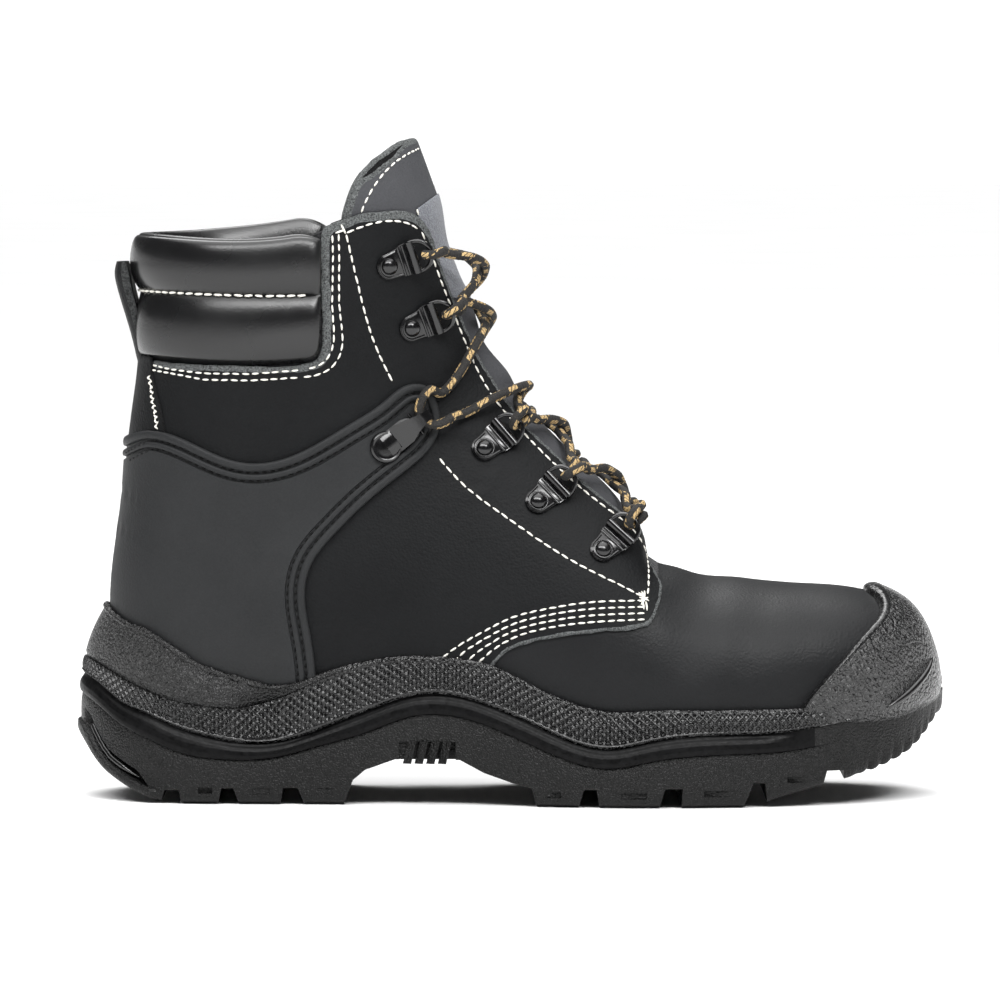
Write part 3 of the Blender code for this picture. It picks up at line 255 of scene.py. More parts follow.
UNDERCUT = 0.7
LUG_BEVEL = 0.7
NOTCH_PITCH, NOTCH_FROM, NOTCH_FULL = 6.0, 120.0, 127.0
NOTCH_RISE, NOTCH_DEPTH, NOTCH_REACH = 1.0, 1.2, 5.0

# Outlines of the leather in the side view
VAMP_EDGE = ((-22.0, 18.0), (-22.0, 52.0), (10.0, 66.0), (38.0, 80.0), (49.0, 87.0), (54.0, 93.0),
             (172.0, 99.0), (172.0, 18.0))
FACING = ((45.3, 95.4), (33.9, 105.0), (23.9, 113.2), (15.4, 121.7), (6.2, 130.3), (-2.7, 141.6),
          (-12.3, 156.5), (-17.6, 168.2), (-24.0, 184.2), (-28.3, 198.0), (-31.8, 205.0), (-37.0, 208.3),
          (-45.0, 208.8), (-58.0, 206.5), (-66.0, 203.4))
COLLAR_TOP = ((-72.0, 200.4), (-84.0, 198.6), (-105.0, 198.0), (-122.0, 199.0), (-134.0, 201.0),
              (-160.0, 203.0))
QUARTER_FRONT = ((-7.0, 48.5), (-3.0, 53.2), (6.0, 57.2), (20.0, 59.9), (36.0, 61.5), (45.6, 62.7),
                 (48.4, 64.0), (50.2, 67.2), (52.0, 73.0), (52.3, 80.0), (51.7, 86.0), (50.0, 90.6))
COLLAR_WINDOW = ((-67.6, 201.0), (-67.4, 180.0), (-67.3, 161.5), (-68.6, 157.0), (-73.0, 155.0),
                 (-92.0, 154.4), (-115.0, 154.8), (-136.0, 156.4), (-165.0, 156.8))
COUNTER_EDGE = ((-165.0, 121.0), (-139.6, 125.4), (-127.6, 130.8), (-120.0, 130.0), (-109.0, 125.4),
                (-97.0, 120.8), (-85.6, 120.6), (-71.8, 125.6), (-58.0, 133.8), (-46.0, 141.6),
                (-37.0, 147.6), (-31.6, 146.8), (-27.8, 141.0), (-26.0, 133.0), (-28.5, 125.8),
                (-39.0, 115.8), (-52.0, 105.4), (-63.5, 94.0), (-70.5, 85.0), (-73.0, 76.0),
                (-71.6, 62.0), (-69.6, 49.0), (-69.0, 34.0))
BUMPER_EDGE = ((98.0, 29.0), (101.4, 34.6), (107.0, 41.6), (114.4, 49.6), (121.8, 57.4), (127.2, 62.4),
               (130.0, 66.4), (129.6, 69.8), (126.6, 72.4), (121.6, 74.6), (116.0, 78.5), (112.0, 88.0))
TOE_SLASH = ((149.4, 49.6), (147.4, 45.8), (143.9, 41.8), (138.6, 37.4), (132.4, 33.8))
TONGUE_EDGE = ((-32.0, 235.6), (-36.4, 234.6), (-41.0, 232.2), (-46.4, 228.4), (-52.7, 222.9),
               (-57.0, 214.9), (-59.4, 205.5), (-56.0, 192.0), (-46.0, 168.0), (-28.0, 143.0),
               (-4.0, 120.0), (20.0, 102.0), (38.0, 88.0), (52.0, 77.0), (60.0, 70.0))
PATCH_EDGE = ((0.0, 228.0), (-20.4, 219.6), (-34.2, 209.3), (-28.0, 193.0), (-22.0, 178.0), (0.0, 178.0))
BACK_STRAP = ((-126.2, 157.5), (-126.2, 151.0), (-121.8, 133.2), (-121.0, 124.0), (-165.0, 124.0),
              (-165.0, 157.5))
BOTTOM_EDGE = ((152.0, 35.0), (140.0, 31.0), (120.0, 27.6), (98.0, 25.4), (76.0, 23.7), (58.0, 23.2),
               (40.0, 23.5), (16.0, 24.8), (-14.0, 28.0), (-49.0, 31.5), (-86.0, 33.6), (-112.0, 35.0),
               (-134.0, 40.0))

# Soft troughs in the leather, in the side view
Fold = namedtuple("Fold", "from_x from_z to_x to_z width depth")
FOLDS = (
    Fold(-141.0, 110.8, -119.0, 101.4, 0.6, 0.34),
    Fold(-142.0, 97.6, -115.0, 86.6, 0.6, 0.34),
    Fold(68.0, 72.0, 62.0, 52.0, 7.0, 0.5),
    Fold(86.0, 66.0, 82.0, 50.0, 6.0, 0.35),
    Fold(-21.0, 128.0, -13.0, 112.0, 1.9, 0.55),
    Fold(-16.0, 127.0, -9.5, 117.0, 1.7, 0.45),
    Fold(-96.0, 143.0, -64.0, 139.0, 5.0, 0.4),
    Fold(-33.0, 158.0, -22.0, 150.0, 3.0, 0.4),
)

# Dip of the leather where the vamp meets the throat
DIP_X, DIP_DEPTH = 51.5, 4.6
DIP_BEHIND, DIP_AHEAD = 4.2, 6.2
DIP_FROM_Z, DIP_FULL_Z = 74.0, 87.0

# Waves across the middle of the tongue, and how far its top leans forward
Wave = namedtuple("Wave", "z width height")
TONGUE_WAVES = (Wave(151.0, 6.0, 1.5), Wave(164.0, 5.0, -0.9), Wave(178.0, 6.0, 0.7))
WAVE_HALF_LENGTH = 13.0
TONGUE_LEAN, LEAN_FROM_Z, LEAN_FULL_Z = 2.7, 196.0, 214.0

# Seams in the side view
FACING_SEAM = ((-32.3, 201.5), (-29.4, 195.0), (-26.0, 185.7), (-18.6, 166.7), (-9.1, 146.1),
               (5.8, 128.1), (32.4, 104.3), (44.2, 94.0), (47.2, 88.0), (48.0, 80.0), (47.4, 72.6))
TOP_SEAM = ((-58.6, 201.1), (-51.2, 203.9), (-43.5, 205.3), (-36.8, 204.3), (-32.3, 201.5))
SHAFT_SEAM = ((-58.6, 200.8), (-54.1, 181.4), (-48.4, 161.4), (-42.3, 148.4))
QUARTER_SEAM = ((-26.0, 121.6), (-17.8, 112.7), (-3.4, 101.8), (11.0, 91.9), (25.4, 83.5), (41.3, 75.7),
                (46.5, 72.9))
LOW_SEAM_FIRST = ((46.6, 72.0), (25.4, 71.4), (11.0, 69.0), (0.1, 66.2), (-10.4, 61.0), (-20.6, 55.0),
                  (-26.0, 50.6))
LOW_SEAM_LAST = ((46.6, 65.6), (25.4, 64.5), (11.0, 62.3), (0.1, 58.9), (-7.0, 54.6), (-12.0, 50.0),
                 (-15.0, 45.0))
WINDOW_SEAM_OUT = ((-61.2, 201.0), (-61.0, 190.0), (-60.7, 172.3), (-61.1, 157.5), (-65.0, 152.9),
                   (-75.2, 150.3), (-92.1, 149.3), (-109.0, 149.5), (-118.8, 151.2), (-129.7, 152.7),
                   (-140.0, 153.4))
WINDOW_SEAM_IN = ((-63.4, 200.6), (-63.2, 190.0), (-63.3, 172.0), (-63.6, 160.3), (-66.6, 155.6),
                  (-75.2, 152.9), (-92.1, 151.6), (-109.0, 151.7), (-121.6, 153.0), (-130.4, 154.7),
                  (-140.0, 155.4))
TONGUE_SEAM = ((-30.0, 232.2), (-33.6, 230.6), (-40.0, 227.0), (-45.8, 221.6), (-50.6, 214.4),
               (-54.0, 205.0), (-53.2, 194.0))
PATCH_SEAM = ((-22.0, 217.8), (-26.8, 215.0), (-33.4, 209.9), (-33.9, 208.6), (-31.4, 202.0),
              (-27.4, 191.5))
CHAIN_SEAM = ((-128.4, 150.6), (-125.2, 131.4))
LOW_SEAM_ROWS = 4

# Collar pad: heights of its edges along the boot; the medial side rises more to the front
PadLine = namedtuple("PadLine", "x bottom seam lateral_top medial_top")
PAD_LINES = (
    PadLine(-145.0, 158.4, 180.6, 200.6, 200.2),
    PadLine(-127.0, 157.6, 180.2, 199.8, 200.0),
    PadLine(-105.0, 156.2, 179.4, 198.4, 201.2),
    PadLine(-85.0, 156.0, 179.0, 198.8, 203.4),
    PadLine(-74.0, 156.6, 179.2, 200.6, 205.2),
    PadLine(-66.0, 157.2, 179.4, 203.2, 206.6),
)
PAD_AXIS_X = -88.0
PAD_FRONT_ANGLE = 62.0
PAD_COLUMNS = 220
PAD_BULGE = 5.4
PAD_SEAM_DIP = 1.7
PAD_END = 4.6
PAD_ROLL_ROWS = 21
PAD_TURN_RADIUS, PAD_TURN_RISE = 2.2, 0.9

# Inner side of the collar pad, as drops below its top and offsets from the last
PAD_INSIDE = ((3.0, -4.6), (9.0, -5.4), (18.0, -5.4), (30.0, -4.4), (42.0, -2.9), (46.0, -2.3))

# Pull tab: a strip up the back of the heel
TabRow = namedtuple("TabRow", "z stand_off thick")
TAB_WIDTH = 23.0
TAB_ROWS = (
    TabRow(152.0, -1.1, 0.6),
    TabRow(156.0, -0.1, 1.2),
    TabRow(160.0, 0.3, 2.0),
    TabRow(166.0, 0.9, 3.2),
    TabRow(174.0, 2.0, 4.7),
    TabRow(182.0, 3.9, 5.1),
    TabRow(187.0, 4.8, 4.8),
    TabRow(190.5, 6.2, 2.6),
)

# Lacing hardware, bottom to top: rivet seen from the side, and the way its plate points, above level
Fitting = namedtuple("Fitting", "x z angle ringed")
EYELETS = (
    Fitting(31.4, 88.7, 48.0, True),
    Fitting(8.7, 105.6, 44.0, True),
    Fitting(-10.3, 124.2, 41.0, True),
    Fitting(-36.6, 167.4, 20.0, False),
    Fitting(-44.4, 189.3, 18.0, False),
)
HOOK = Fitting(-45.3, 125.1, 38.0, False)
HOOK_STATION = 3
EYELET_FOOT = QUARTER_OUT + 0.15
HOOK_FOOT = COUNTER_OUT + 0.1
PLATE_THICK = 1.0
PLATE_END_RADIUS = 4.6
PLATE_BAR_AT = 9.4
PLATE_BAR_WIDTH = 11.6
BARREL_RADIUS = 1.6
RING_WIRE = 0.8
RING_REACH = 6.6
RING_TILT = 26.0
HOOK_WIDTH = 9.0
HOOK_NECK = 2.8
HOOK_REACH = 16.5
HOOK_THROAT = 2.3
HOOK_LIP = 4.6
HOOK_CROWN = 1.7
HOOK_BASE_RADIUS = 5.7

# Lace: heights of a crossing above the last, and how far each hangs free of the tongue, bottom to top
LACE_RADIUS = 1.65
CROSS_ON_TONGUE = -0.4
CROSS_ON_FACING = 3.5
CROSS_SLACK = (0.2, 0.3, 0.6, 1.4, 5.5)
CROSS_OVER = 3.2
CROSS_SWING = (0.6, 0.6, 0.6, 1.7, 0.6)
CROSS_FOOT_SLACK = 0.4
LACE_STEP = 0.6
LACE_SMOOTHING = 8
LACE_SIDES = 16
LACE_PICK = 3.4
LACE_RELIEF = 0.09
LACE_WINDING = 12.4

# Camera, fitted to the photograph
VIEW_TARGET = (-4.47, 0.0, 105.2)
VIEW_DISTANCE = 2500.0
VIEW_ELEVATION = 3.0
VIEW_LENS = 251.7
SENSOR = 36.0

# Studio: lamps in metres and watts, and the greys of the sky by the sine of their height
Lamp = namedtuple("Lamp", "name spot wide high power")
LAMPS = (
    Lamp("strip", (-0.2, -1.35, 1.7), 2.4, 0.5, 46.0),
    Lamp("key", (0.8, -1.4, 1.6), 0.6, 0.6, 12.0),
    Lamp("rim", (-0.3, 1.2, 1.5), 1.0, 1.0, 14.0),
)
LAMP_AIM = (0.0, 0.0, 0.1)
SKY = ((0.0, 0.34), (0.05, 0.34), (0.12, 0.02), (0.72, 0.03), (0.88, 0.85), (1.0, 1.0))
SKY_STRENGTH = 3.5
FLOOR_RADIUS, FLOOR_DROP = 30.0, 0.0003


# Curves and surfaces

def smoothstep(low, high, value):
    """0 below low, 1 above high and an S curve between them."""
    t = np.clip((np.asarray(value, float) - low) / (high - low), 0.0, 1.0)
    return t * t * (3.0 - 2.0 * t)


def spline(knots, values, at):
    """Cubic spline with free ends through the rows of values at the knots."""
    knots = np.asarray(knots, float)
    values = np.asarray(values, float)
    count = len(knots)
    step = np.diff(knots)
    system = np.eye(count)
    right = np.zeros_like(values)
    for i in range(1, count - 1):
        system[i, i - 1] = step[i - 1]
        system[i, i] = 2.0 * (step[i - 1] + step[i])
        system[i, i + 1] = step[i]
        right[i] = 6.0 * ((values[i + 1] - values[i]) / step[i] - (values[i] - values[i - 1]) / step[i - 1])
    bend = np.linalg.solve(system, right)
    at = np.atleast_1d(np.asarray(at, float))
    span = np.clip(np.searchsorted(knots, at) - 1, 0, count - 2)
    width = step[span]
    shape = (-1,) + (1,) * (values.ndim - 1)
    after = ((knots[span + 1] - at) / width).reshape(shape)
    before = ((at - knots[span]) / width).reshape(shape)
    square = (width * width / 6.0).reshape(shape)
    curve = after * values[span] + before * values[span + 1]
    return curve + square * ((after ** 3 - after) * bend[span] + (before ** 3 - before) * bend[span + 1])


def chord(points):
    """Running length along a row of points."""
    steps = np.linalg.norm(np.diff(np.asarray(points, float), axis=0), axis=1)
    return np.concatenate([[0.0], np.cumsum(steps)])


def sample(points, length, at):
    """Points of a polyline at the given running lengths."""
    return np.stack([np.interp(at, length, column) for column in np.asarray(points, float).T], axis=1)


def unit(rows):
    """Rows scaled to a length of one."""
    return rows / np.linalg.norm(rows, axis=1, keepdims=True)


def headings(line):
    """Directions along a row of points."""
    return unit(np.gradient(np.asarray(line, float), axis=0))


def smooth_path(points, per_span):
    """A smooth open curve through the points."""
    knots = chord(points)
    at = np.concatenate([np.linspace(a, b, per_span, endpoint=False) for a, b in zip(knots, knots[1:])])
    return spline(knots, points, np.append(at, knots[-1]))


def curve(points, per_span):
    """A smooth open curve through the points, as a list of pairs."""
    return [tuple(p) for p in smooth_path(points, per_span)]


def even_path(points, step):
    """Points of a polyline at an even spacing of about step."""
    length = chord(points)
    return sample(points, length, np.linspace(0.0, length[-1], max(2, int(round(length[-1] / step)) + 1)))


def level(name, x):
    """Height of one line of the sole at the given x."""
    knots = [row.x for row in SOLE_LEVELS]
    return spline(knots, [getattr(row, name) for row in SOLE_LEVELS], np.clip(x, knots[0], knots[-1]))


def last_sections(count):
    """The section table blended into count + 1 sections at an even spacing, toe tip first."""
    mirrored = [
        Section(s.bottom_x, s.bottom_z, s.top_x, s.top_z, -s.medial, -s.lateral, *s[6:])
        for s in SECTIONS[1::-1]
    ]
    rows = np.array(mirrored + [TOE_TIP] + list(SECTIONS), float)
    knots = chord(rows[:, :6])
    first = len(mirrored)
    return spline(knots, rows, np.linspace(knots[first], knots[-1], count + 1))


def section_loop(row, count):
    """Points around one section, evenly spaced: over the top, down the lateral side and back."""
    top_x, top_z, bottom_x, bottom_z, lateral, medial, widest, top_power, bottom_power = row
    turn = np.linspace(0.0, math.pi, 641)
    up = np.cos(turn)
    out = np.abs(np.sin(turn))
    power = np.where(up >= 0.0, 2.0 / top_power, 2.0 / bottom_power)
    reach = np.where(up >= 0.0, 1.0 - widest, -widest)
    along = widest + reach * np.abs(up) ** power
    across = out ** power
    middle = 0.5 * (medial - lateral)
    half = 0.5 * (medial + lateral)
    arc = chord(np.stack([(top_x - bottom_x) * along, half * across, (top_z - bottom_z) * along], axis=1))
    even = np.linspace(0.0, arc[-1], count // 2 + 1)
    along = np.interp(even, arc, along)
    across = np.interp(even, arc, across)
    along = np.concatenate([along, along[-2:0:-1]])
    across = np.concatenate([-across, across[-2:0:-1]])
    return np.stack([
        bottom_x + (top_x - bottom_x) * along,
        middle + half * across,
        bottom_z + (top_z - bottom_z) * along,
    ], axis=1)


def last_surface(rings, around):
    """Points and outward normals of the last, as grids of rings by points around."""
    grid = np.stack([section_loop(row, around) for row in last_sections(rings)])
    along = np.gradient(grid, axis=0)
    turn = np.roll(grid, -1, axis=1) - np.roll(grid, 1, axis=1)
    normal = np.cross(along, turn)
    normal[0] = (1.0, 0.0, 0.0)
    size = np.linalg.norm(normal, axis=2, keepdims=True)
    return grid, normal / np.maximum(size, 1e-9)


def segment_distance(start, end, x, z):
    """Distance of side-view points from a straight stretch."""
    ahead = np.asarray(end, float) - np.asarray(start, float)
    share = ((x - start[0]) * ahead[0] + (z - start[1]) * ahead[1]) / max(ahead @ ahead, 1e-9)
    share = np.clip(share, 0.0, 1.0)
    return np.hypot(x - start[0] - share * ahead[0], z - start[1] - share * ahead[1])


def inside_distance(outline, points):
    """Distance in the side view to a closed outline, positive inside it."""
    x, z = points[:, 0], points[:, 2]
    best = np.full(len(x), 1e9)
    inside = np.zeros(len(x), bool)
    for (ax, az), (bx, bz) in zip(outline, list(outline[1:]) + [outline[0]]):
        best = np.minimum(best, segment_distance((ax, az), (bx, bz), x, z))
        if az != bz:
            inside ^= ((az > z) != (bz > z)) & (x < ax + (z - az) * (bx - ax) / (bz - az))
    return np.where(inside, best, -best)


def throat_dip(points):
    """How far the leather drops where the vamp meets the throat."""
    x, z = points[:, 0], points[:, 2]
    reach = np.where(x < DIP_X, DIP_BEHIND, DIP_AHEAD)
    return -DIP_DEPTH * np.exp(-((x - DIP_X) / reach) ** 2) * smoothstep(DIP_FROM_Z, DIP_FULL_Z, z)


def folds(points):
    """Height of the leather's soft troughs, with a low ridge beside each, and of the dip at the throat."""
    x, z = points[:, 0], points[:, 2]
    height = throat_dip(points)
    for fold in FOLDS:
        away = segment_distance((fold.from_x, fold.from_z), (fold.to_x, fold.to_z), x, z) / fold.width
        height += fold.depth * (0.45 * np.exp(-(away - 1.9) ** 2) - np.exp(-away ** 2))
    return height


def puckers(points):
    """Waves down the middle of the tongue and the lean of its top, over the dip at the throat."""
    y, z = points[:, 1], points[:, 2]
    middle = np.exp(-(y / WAVE_HALF_LENGTH) ** 2)
    waves = sum(wave.height * np.exp(-((z - wave.z) / wave.width) ** 2) for wave in TONGUE_WAVES)
    return throat_dip(points) + TONGUE_LEAN * smoothstep(LEAN_FROM_Z, LEAN_FULL_Z, z) + middle * waves


def ragged(points):
    """Small waver of a cut leather edge."""
    x, z = points[:, 0], points[:, 2]
    waves = np.sin(2.3 * x + 1.7 * z) + np.sin(3.1 * z - 1.3 * x + 1.0) + np.sin(4.1 * x + 0.6 * z + 2.0)
    return CUT_WAVER * waves


def side_hit(tree, x, z, side):
    """Point and normal where a ray across the boot from one side first meets a surface."""
    return tree.ray_cast(Vector((x, side * SIDE_RAY, z)), Vector((0.0, -side, 0.0)))[:2]


# Meshes

def build_mesh(name, points, faces, materials, face_materials=None, sharp=40.0):
    """An object from points in millimetres, smooth up to the sharp angle."""
    mesh = bpy.data.meshes.new(name)
    rows = faces.tolist() if isinstance(faces, np.ndarray) else faces
    mesh.from_pydata((np.asarray(points, float) * MM).tolist(), [], [tuple(f) for f in rows])
    for material in materials:
        mesh.materials.append(material)
    if face_materials is not None:
        mesh.polygons.foreach_set("material_index", np.asarray(face_materials, np.int32))
    mesh.shade_smooth()
    mesh.set_sharp_from_angle(angle=math.radians(sharp))
    made = bpy.data.objects.new(name, mesh)
    bpy.context.scene.collection.objects.link(made)
    return made


def settle(piece, slot, *nodes):
    """Let a finished piece ride on the boot and stand for its nodes; its slot is not used."""
    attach(piece, "root")
    if nodes:
        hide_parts(*nodes)
    return piece


# Column of the field, after a point's place and normal
FIELD = 6


def skin(density):
    """The last as rows of point, normal and field, with its triangles."""
    rings = int(round(RINGS * density))
    around = 2 * int(round(0.5 * AROUND * density))
    grid, normals = last_surface(rings, around)
    rows = np.zeros(((rings + 1) * around, FIELD + 1))
    rows[:, :3] = grid.reshape(-1, 3)
    rows[:, 3:6] = normals.reshape(-1, 3)
    ring, turn = np.meshgrid(np.arange(rings), np.arange(around), indexing="ij")
    a = (ring * around + turn).ravel()
    b = (ring * around + (turn + 1) % around).ravel()
    triangles = np.concatenate([
        np.stack([a, a + around, b + around], axis=1),
        np.stack([a, b + around, b], axis=1),
    ])
    triangles[triangles < around] = 0
    flat = (triangles[:, 0] == triangles[:, 1]) | (triangles[:, 1] == triangles[:, 2])
    flat |= triangles[:, 0] == triangles[:, 2]
    return rows, triangles[~flat]


def slice_at(rows, triangles, cut_level):
    """Split the triangles that cross one level of the field, so that edges run along it."""
    above = rows[:, FIELD] > cut_level
    count = above[triangles].sum(axis=1)
    mixed = (count == 1) | (count == 2)
    cut = triangles[mixed]
    if not len(cut):
        return rows, triangles
    flags = above[cut]
    lone = np.where(count[mixed] == 1, np.argmax(flags, axis=1), np.argmin(flags, axis=1))
    each = np.arange(len(cut))
    a, b, c = cut[each, lone], cut[each, (lone + 1) % 3], cut[each, (lone + 2) % 3]
    edges = np.sort(np.concatenate([np.stack([a, b], axis=1), np.stack([a, c], axis=1)]), axis=1)
    edges, found = np.unique(edges, axis=0, return_inverse=True)
    found = found.ravel() + len(rows)
    low, high = rows[edges[:, 0]], rows[edges[:, 1]]
    share = (cut_level - low[:, FIELD]) / (high[:, FIELD] - low[:, FIELD])
    fresh = low + (high - low) * share[:, None]
    fresh[:, FIELD] = cut_level
    ab, ac = found[:len(cut)], found[len(cut):]
    triangles = np.concatenate([
        triangles[~mixed],
        np.stack([a, ab, ac], axis=1),
        np.stack([ab, b, c], axis=1),
        np.stack([ab, c, ac], axis=1),
    ])
    return np.concatenate([rows, fresh]), triangles


def loose_edges(triangles, count):
    """Directed edges that belong to one triangle only."""
    edges = np.concatenate([triangles[:, [0, 1]], triangles[:, [1, 2]], triangles[:, [2, 0]]])
    code = edges[:, 0] * count + edges[:, 1]
    back = edges[:, 1] * count + edges[:, 0]
    return edges[~np.isin(code, back)]


def rounded(thick, radius):
    """Profile of a sheet with a rounded rim, and the field levels that it needs."""
    def height(away):
        return thick - radius + np.sqrt(np.maximum(radius ** 2 - np.maximum(radius - away, 0.0) ** 2, 0.0))
    return height, [radius * share for share in (0.0, 0.12, 0.35, 0.65, 1.0)]


def raw_edge(thick, drop):
    """Profile of a sheet whose cut edge slopes down by drop over the first unit of the field."""
    def height(away):
        share = np.minimum(away, 1.0)
        return thick - drop * (1.0 - np.sqrt(1.0 - (1.0 - share) ** 2))
    return height, [0.0, 0.06, 0.2, 0.42, 0.7, 1.0]


def panel(name, field, low, profile, materials, rim=0.0, relief=folds, sharp=40.0):
    """A closed sheet on the last where the field is positive.  Its materials are face, rim and back."""
    height, levels = profile
    rows, triangles = skin(MESH_SHARE.get(name, 1.0))
    rows[:, FIELD] = field(rows[:, :3])
    near = rows[:, FIELD] > -6.0
    triangles = triangles[near[triangles].any(axis=1)]
    for cut_level in sorted(set(levels) | {0.0, rim}):
        rows, triangles = slice_at(rows, triangles, cut_level)
    middle = rows[:, FIELD][triangles].mean(axis=1)
    triangles = triangles[middle > 0.0]
    used, triangles = np.unique(triangles, return_inverse=True)
    triangles = triangles.reshape(-1, 3)
    rows = rows[used]
    away = np.maximum(rows[:, FIELD], 0.0)
    soft = relief(rows[:, :3])
    top = rows[:, :3] + rows[:, 3:6] * (height(away) + soft)[:, None]
    back = rows[:, :3] + rows[:, 3:6] * (low + soft)[:, None]
    count = len(rows)
    edges = loose_edges(triangles, count)
    i, j = edges[:, 0], edges[:, 1]
    walls = np.concatenate([np.stack([j, i, i + count], axis=1), np.stack([j, i + count, j + count], axis=1)])
    faces = np.concatenate([triangles, walls, triangles[:, ::-1] + count])
    kinds = np.concatenate([
        (away[triangles].mean(axis=1) < rim).astype(int),
        np.ones(len(walls), int),
        np.full(len(triangles), len(materials) - 1),
    ])
    made = build_mesh(name, np.concatenate([top, back]), faces, materials, kinds, sharp)
    tree = BVHTree.FromPolygons(top.tolist(), triangles.tolist())
    return made, tree


def grid_faces(rows, columns, closed=False):
    """Faces of a grid of points in row order, joined around if closed."""
    r, c = np.meshgrid(np.arange(rows - 1), np.arange(columns if closed else columns - 1), indexing="ij")
    a = (r * columns + c).ravel()
    b = (r * columns + (c + 1) % columns).ravel()
    return np.stack([a, b, b + columns, a + columns], axis=1)


def capped_faces(rows, columns):
    """Faces of a tube of points in row order, closed around and at both ends."""
    faces = [tuple(f) for f in grid_faces(rows, columns, True)]
    return faces + [tuple(range(columns)), tuple(range((rows - 1) * columns, rows * columns))]


def looped_faces(rows, columns):
    """Faces of a tube of points in row order whose last row joins the first."""
    last = (rows - 1) * columns
    faces = [tuple(f) for f in grid_faces(rows, columns, True)]
    return faces + [(last + k, last + (k + 1) % columns, (k + 1) % columns, k) for k in range(columns)]


def swept(line, ahead, guide, radii):
    """Rings of points around a line, without twist; radii has a row for each point of the line."""
    turn = 2.0 * math.pi * np.arange(radii.shape[1]) / radii.shape[1]
    up, over = np.cos(turn)[:, None], np.sin(turn)[:, None]
    rings = []
    for place_on_line, way, reach in zip(line, ahead, radii):
        guide = guide - way * (guide @ way)
        guide /= np.linalg.norm(guide)
        rings.append(place_on_line + reach[:, None] * (up * guide + over * np.cross(way, guide)))
    return np.concatenate(rings)


def flip_if_inward(made):
    """Turn the faces of a closed mesh to the outside."""
    shape = bmesh.new()
    shape.from_mesh(made.data)
    bmesh.ops.recalc_face_normals(shape, faces=shape.faces)
    shape.to_mesh(made.data)
    shape.free()
    return made


def combine(body, tool, operation):
    """Join, cut or intersect body with tool, and take tool away."""
    modifier = body.modifiers.new(operation, "BOOLEAN")
    modifier.operation = operation
    modifier.solver = "EXACT"
    modifier.object = tool
    bpy.context.view_layer.update()
    graph = bpy.context.evaluated_depsgraph_get()
    result = bpy.data.meshes.new_from_object(body.evaluated_get(graph))
    body.modifiers.clear()
    body.data = result
    bpy.data.objects.remove(tool, do_unlink=True)
    return body


# Materials

def new_material(name, roughness, **sockets):
    """A Principled material with its constant sockets set."""
    made = bpy.data.materials.new(name)
    made.use_nodes = True
    shader = made.node_tree.nodes["Principled BSDF"]
    shader.inputs["Roughness"].default_value = roughness
    for socket, value in sockets.items():
        shader.inputs[socket.replace("_", " ")].default_value = value
    return made, made.node_tree, shader


def wire(tree, shader, **sources):
    """Link outputs of nodes to the shader's sockets, by name."""
    for socket, source in sources.items():
        tree.links.new(source, shader.inputs[socket.replace("_", " ")])


def add_node(tree, kind, **values):
    """A node with the given inputs, by name, and settings."""
    made = tree.nodes.new(kind)
    for key, value in values.items():
        socket = key.replace("_", " ")
        if socket in made.inputs:
            made.inputs[socket].default_value = value
        else:
            setattr(made, key, value)
    return made


def noise(tree, coords, scale, detail=2.0, roughness=0.5):
    """Noise at a scale in features per metre."""
    made = add_node(tree, "ShaderNodeTexNoise", Scale=scale, Detail=detail, Roughness=roughness)
    tree.links.new(coords, made.inputs["Vector"])
    return made.outputs["Fac"]


def cells(tree, coords, scale, feature="SMOOTH_F1"):
    """Rounded cells at a scale in features per metre."""
    made = add_node(tree, "ShaderNodeTexVoronoi", feature=feature, Scale=scale)
    tree.links.new(coords, made.inputs["Vector"])
    return made.outputs["Distance"]


def ramp(tree, value, low, high, dark, light):
    """Colour between dark and light as value goes from low to high."""
    made = add_node(tree, "ShaderNodeValToRGB")
    made.color_ramp.elements[0].position = low
    made.color_ramp.elements[0].color = (*dark, 1.0)
    made.color_ramp.elements[1].position = high
    made.color_ramp.elements[1].color = (*light, 1.0)
    tree.links.new(value, made.inputs["Fac"])
    return made.outputs["Color"]


def spread(tree, value, low, high, to_low, to_high):
    """Value mapped from one range to another."""
    made = add_node(tree, "ShaderNodeMapRange")
    for name, number in zip(("From Min", "From Max", "To Min", "To Max"), (low, high, to_low, to_high)):
        made.inputs[name].default_value = number
    tree.links.new(value, made.inputs["Value"])
    return made.outputs["Result"]


def blend(tree, first, second, share):
    """Two colours mixed by a constant or linked share."""
    made = tree.nodes.new("ShaderNodeMix")
    made.data_type = "RGBA"
    if isinstance(share, float):
        made.inputs["Factor"].default_value = share
    else:
        tree.links.new(share, made.inputs["Factor"])
    tree.links.new(first, made.inputs[6])
    tree.links.new(second, made.inputs[7])
    return made.outputs[2]


def bump(tree, height, strength, distance, under=None):
    """Bump from a height of 0 to 1, scaled by distance in metres, on top of another normal."""
    made = add_node(tree, "ShaderNodeBump", Strength=strength, Distance=distance)
    tree.links.new(height, made.inputs["Height"])
    if under is not None:
        tree.links.new(under, made.inputs["Normal"])
    return made.outputs["Normal"]


def place(tree):
    """Place on the boot, in metres."""
    return tree.nodes.new("ShaderNodeTexCoord").outputs["Object"]


